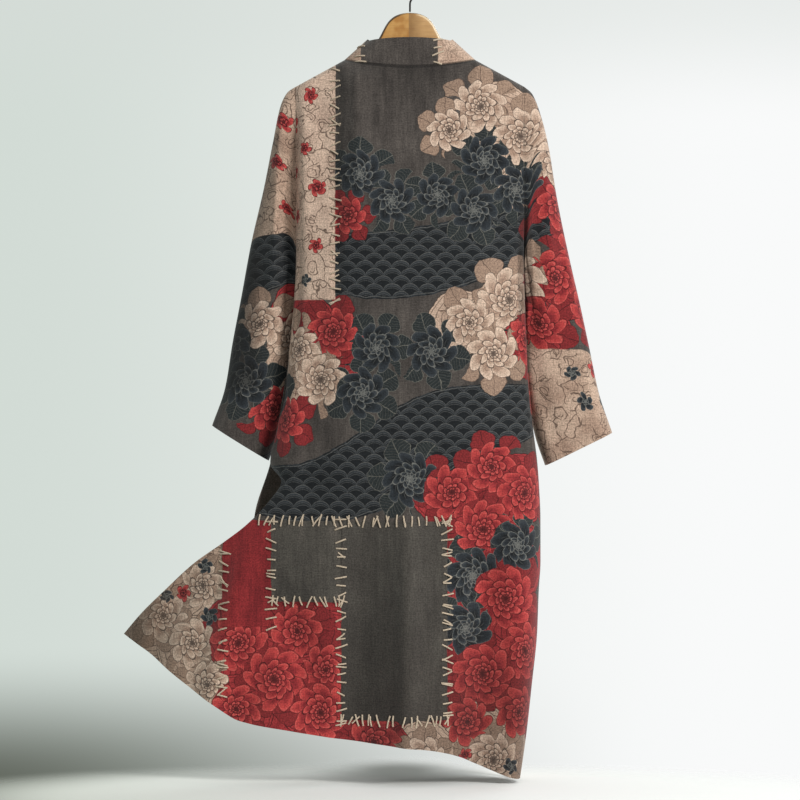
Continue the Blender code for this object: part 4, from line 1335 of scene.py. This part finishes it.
STITCHES = Table(
    "start_x start_z end_x end_z",
    (-126, -172, -126, -561),
    (-83, -160, -83, -134),
    (47, -160, 47, -120),
    (-256, -932, 66, -932),
    (-312, -988, -315, -1226),
    (-233, -932, -233, -1109),
    (-233, -1066, -115, -1066),
    (-115, -932, -115, -1264),
    (62, -932, 62, -1250),
    (-115, -1264, 64, -1264),
)
UPRIGHT_WITHIN = 10
THREAD_POINTS, THREAD_SIDES = 9, 7


def cotton_thread():
    thread = Finish("cotton_thread", Roughness=0.85)
    at = thread.on_object()
    fibres = thread.noise(at, (0.0012, 0.0012, 0.0012), 2.0)
    colour = thread.blend(thread.over(fibres, 0.3, 0.7), dye(168, 151, 130), dye(216, 198, 176))
    return thread.give(colour, None, fibres, 0.3 * MM)


def stitch_tree(thread):
    """Short threads across a seam line, laid on the cloth: the tree's inputs are their sizes."""
    group = bpy.data.node_groups.new("hand_stitches", "GeometryNodeTree")
    face = group.interface
    face.new_socket("Seams", in_out="INPUT", socket_type="NodeSocketGeometry")
    face.new_socket("Cloth", in_out="INPUT", socket_type="NodeSocketObject")
    for name in ("Pitch", "Length", "Thickness", "Lean", "Share"):
        face.new_socket(name, in_out="INPUT", socket_type="NodeSocketFloat")
    face.new_socket("Seed", in_out="INPUT", socket_type="NodeSocketInt")
    face.new_socket("Stitches", in_out="OUTPUT", socket_type="NodeSocketGeometry")
    tree = Tree(group.nodes, group.links)
    entry = group.nodes.new("NodeGroupInput")
    inputs = {socket.name: Link(tree, socket) for socket in entry.outputs if socket.name}
    thickness = inputs["Thickness"]

    def shape(kind, values=None, settings=None, out=0):
        return tree.node("GeometryNode" + kind, settings, values, out)

    def random(low, high, salt):
        values = {2: low, 3: high, "Seed": inputs["Seed"] + salt}
        return tree.node("FunctionNodeRandomValue", {"data_type": "FLOAT"}, values, 1)

    def combined(x, y, z):
        return tree.node("ShaderNodeCombineXYZ", {}, {0: x, 1: y, 2: z})

    values = {"Curve": inputs["Seams"], "Length": inputs["Pitch"]}
    line = shape("ResampleCurve", values, {"mode": "LENGTH"})
    tangent = shape("InputTangent")
    square = tree.vector("NORMALIZE", tree.vector("CROSS_PRODUCT", tangent, (0, 1, 0)))
    slide = tree.scale(tangent, random(-0.25, 0.25, 1) * inputs["Pitch"])
    shift = tree.scale(square, random(-1.2, 1.2, 2) * MM)
    line = shape("SetPosition", {"Geometry": line, "Offset": tree.vector("ADD", slide, shift)})
    lean = random(-1, 1, 3) * inputs["Lean"]
    aslant = tree.scale(square, tree.math("COSINE", lean))
    way = tree.vector("ADD", aslant, tree.scale(tangent, tree.math("SINE", lean)))
    single = shape("CurvePrimitiveLine", {"Start": (-0.5, 0, 0), "End": (0.5, 0, 0)})
    values = {
        "Points": line,
        "Selection": random(0, 1, 5) < inputs["Share"],
        "Instance": shape("ResampleCurve", {"Curve": single, "Count": THREAD_POINTS}, {"mode": "COUNT"}),
        "Rotation": tree.node("FunctionNodeAlignRotationToVector", {"axis": "X"}, {"Vector": way}),
        "Scale": combined(inputs["Length"] * random(0.75, 1.2, 4), 1.0, 1.0),
    }
    threads = shape("RealizeInstances", {0: shape("InstanceOnPoints", values)})
    x, _y, z = tree.split(shape("InputPosition"))
    settings = {"transform_space": "RELATIVE"}
    cloth_there = shape("ObjectInfo", {"Object": inputs["Cloth"]}, settings, "Geometry")
    values = {
        "Target Geometry": cloth_there,
        "Source Position": combined(x, -1.0, z),
        "Ray Direction": (0, 1, 0),
        "Ray Length": 2.0,
    }
    found = shape("Raycast", values, {"data_type": "FLOAT"}).socket.node.outputs
    is_hit, on_cloth, facing = (Link(tree, found[i]) for i in ("Is Hit", "Hit Position", "Hit Normal"))
    arch = tree.math("SINE", shape("SplineParameter") * math.pi)
    lifted = tree.scale(facing, arch * thickness * 0.55 + thickness * 0.12)
    values = {"Geometry": threads, "Selection": is_hit, "Position": tree.vector("ADD", on_cloth, lifted)}
    threads = shape("SetPosition", values)
    threads = shape("SetCurveRadius", {"Curve": threads, "Radius": arch ** 0.3 * 0.35 + 0.65})
    profile = shape("CurvePrimitiveCircle", {"Resolution": THREAD_SIDES, "Radius": thickness * 0.5})
    tubes = shape("CurveToMesh", {"Curve": threads, "Profile Curve": profile, "Fill Caps": True})
    tubes = shape("RealizeInstances", {0: tubes})
    tubes = shape("SetMaterial", {"Geometry": tubes, "Material": thread})
    leave = group.nodes.new("NodeGroupOutput")
    tree.feed(leave.inputs["Stitches"], tubes)
    return group


def seam_curve(name, rows):
    """The seam lines, as one curve with a straight stretch for each."""
    curve = bpy.data.curves.new(name, "CURVE")
    curve.dimensions = "3D"
    for start_x, start_z, end_x, end_z in rows:
        spline = curve.splines.new("POLY")
        spline.points.add(1)
        spline.points[0].co = (start_x * MM, 0, start_z * MM, 1)
        spline.points[1].co = (end_x * MM, 0, end_z * MM, 1)
    return put(name, curve)


def sewn(name, rows, group, cloth_piece, **sizes):
    """The stitches of some seams as one plain mesh."""
    seams = seam_curve(name + "_seams", rows)
    modifier = seams.modifiers.new("stitches", "NODES")
    modifier.node_group = group
    sockets = {s.name: s.identifier for s in group.interface.items_tree if s.in_out == "INPUT"}
    for size, value in {"Cloth": cloth_piece, **sizes}.items():
        modifier[sockets[size]] = value
    evaluated = seams.evaluated_get(bpy.context.evaluated_depsgraph_get())
    mesh = bpy.data.meshes.new_from_object(evaluated)
    bpy.data.objects.remove(seams)
    mesh.name = name
    mesh.shade_smooth()
    made = put(name, mesh)
    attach(made, "root")
    return made


stitch_group = stitch_tree(cotton_thread())
seams = list(STITCHES.rows())
band_seams = [row for row in seams if row[0] in BAND_JOINS]
upright = [row for row in seams if abs(row[0] - row[2]) < UPRIGHT_WITHIN and row not in band_seams]
level = [row for row in seams if row not in upright and row not in band_seams]
plain = {"Length": 17.5 * MM, "Thickness": 2.9 * MM, "Lean": 0.5, "Share": 1.0}
crossed = {"Length": 18 * MM, "Thickness": 2.7 * MM, "Lean": 1.0, "Share": 0.75}
patch_stitches = [
    sewn("upright_stitches", upright, stitch_group, back, **plain, Pitch=15 * MM, Seed=4),
    sewn("upright_crosses", upright, stitch_group, back, **crossed, Pitch=42 * MM, Seed=9),
    sewn("level_stitches", level, stitch_group, back, **plain, Pitch=12.5 * MM, Seed=2),
    sewn("level_crosses", level, stitch_group, back, **crossed, Pitch=24 * MM, Seed=7),
]
band_stitches = sewn("band_stitches", band_seams, stitch_group, band, **plain, Pitch=12 * MM, Seed=3)


# The studio
# A pale floor just below the hem fades into a pale room. A large soft light stands in front and to
# the right, a weaker one behind, and a long lens looks level at the middle of the robe.

FLOOR_Z, FLOOR_RADIUS, FLOOR_SIDES = -1.374, 2.6, 96
ROBE_MIDDLE = Vector((0, 0, -0.72))
LENS, SENSOR = 160, 36
CAMERA_AT = (-0.0169, -6.03, -0.7296)


def pale_floor():
    """A floor that shows only round the robe, with painted shade greying it to the left and a painted
    shadow under the hem.
    """
    finish = Finish("studio_floor", Roughness=0.9)
    x, y, _z = finish.split(finish.on_object())

    def distance(from_x, from_y, stretch):
        dx, dy = x - from_x, y - from_y
        return (dx * dx * stretch + dy * dy) ** 0.5

    # Painted shade: the floor greys towards the left.
    colour = finish.blend(finish.over(x, -0.9, 0.1), dye(212, 217, 206), dye(250, 251, 250))
    # Painted shadow under the hem, which also makes the floor show there.
    painted_hem_shadow = finish.over(distance(-0.02, 0.14, 2.4), 0.3, 0.04)
    shown = finish.either(finish.over(distance(0, -0.25, 0.4), 0.56, 0.34), painted_hem_shadow)
    finish.feed(finish.shader.inputs["Alpha"], shown)
    return finish.give(finish.blend(painted_hem_shadow * 0.75, colour, dye(96, 98, 90)))


turns = [2 * math.pi * k / FLOOR_SIDES for k in range(FLOOR_SIDES)]
rim = [(FLOOR_RADIUS * math.cos(turn), FLOOR_RADIUS * math.sin(turn), FLOOR_Z) for turn in turns]
floor_mesh = bpy.data.meshes.new("floor")
floor_mesh.from_pydata(rim, [], [list(range(FLOOR_SIDES))])
floor_mesh.materials.append(pale_floor())
put("floor", floor_mesh)

world = bpy.data.worlds.new("room")
world.use_nodes = True
room = Tree(world.node_tree.nodes, world.node_tree.links)
right, ahead, up = room.split(room.node("ShaderNodeNewGeometry"))
wall = room.blend(room.over(right, -0.12, 0.10), dye(210, 219, 213), dye(249, 250, 250))
wall = room.blend(room.over(up, 0.075, 0.115) * 0.5, wall, dye(214, 220, 216))
# Painted shadow low on the left of the room, above the floor line.
painted_wall_shadow = room.over(up, -0.068, -0.106) * room.over(right, 0.07, -0.125)
wall = room.blend(painted_wall_shadow * room.over(ahead, 0.9, 0.97), wall, dye(99, 104, 95))
wall = room.blend(room.over(ahead, 0.3, -0.4), wall, dye(152, 156, 156))
room.feed(world.node_tree.nodes["Background"].inputs["Color"], wall)
bpy.context.scene.world = world


def soft_light(name, place, size, power, colour):
    light = bpy.data.lights.new(name, "AREA")
    light.size, light.energy, light.color = size, power, colour
    made = put(name, light)
    made.location = place
    made.rotation_euler = (ROBE_MIDDLE - Vector(place)).to_track_quat("-Z", "Y").to_euler()


soft_light("window", (2.6, -3.6, 1.5), size=1.2, power=185, colour=(1.0, 0.98, 0.95))
soft_light("lamp_behind", (1.5, 3.2, 1.2), size=1.6, power=30, colour=(1.0, 1.0, 1.0))

camera = put("camera", bpy.data.cameras.new("camera"))
camera.data.lens, camera.data.sensor_width = LENS, SENSOR
camera.location = CAMERA_AT
camera.rotation_euler = (math.pi / 2, 0, 0)
bpy.context.scene.camera = camera
bpy.context.scene.view_settings.view_transform = "Standard"
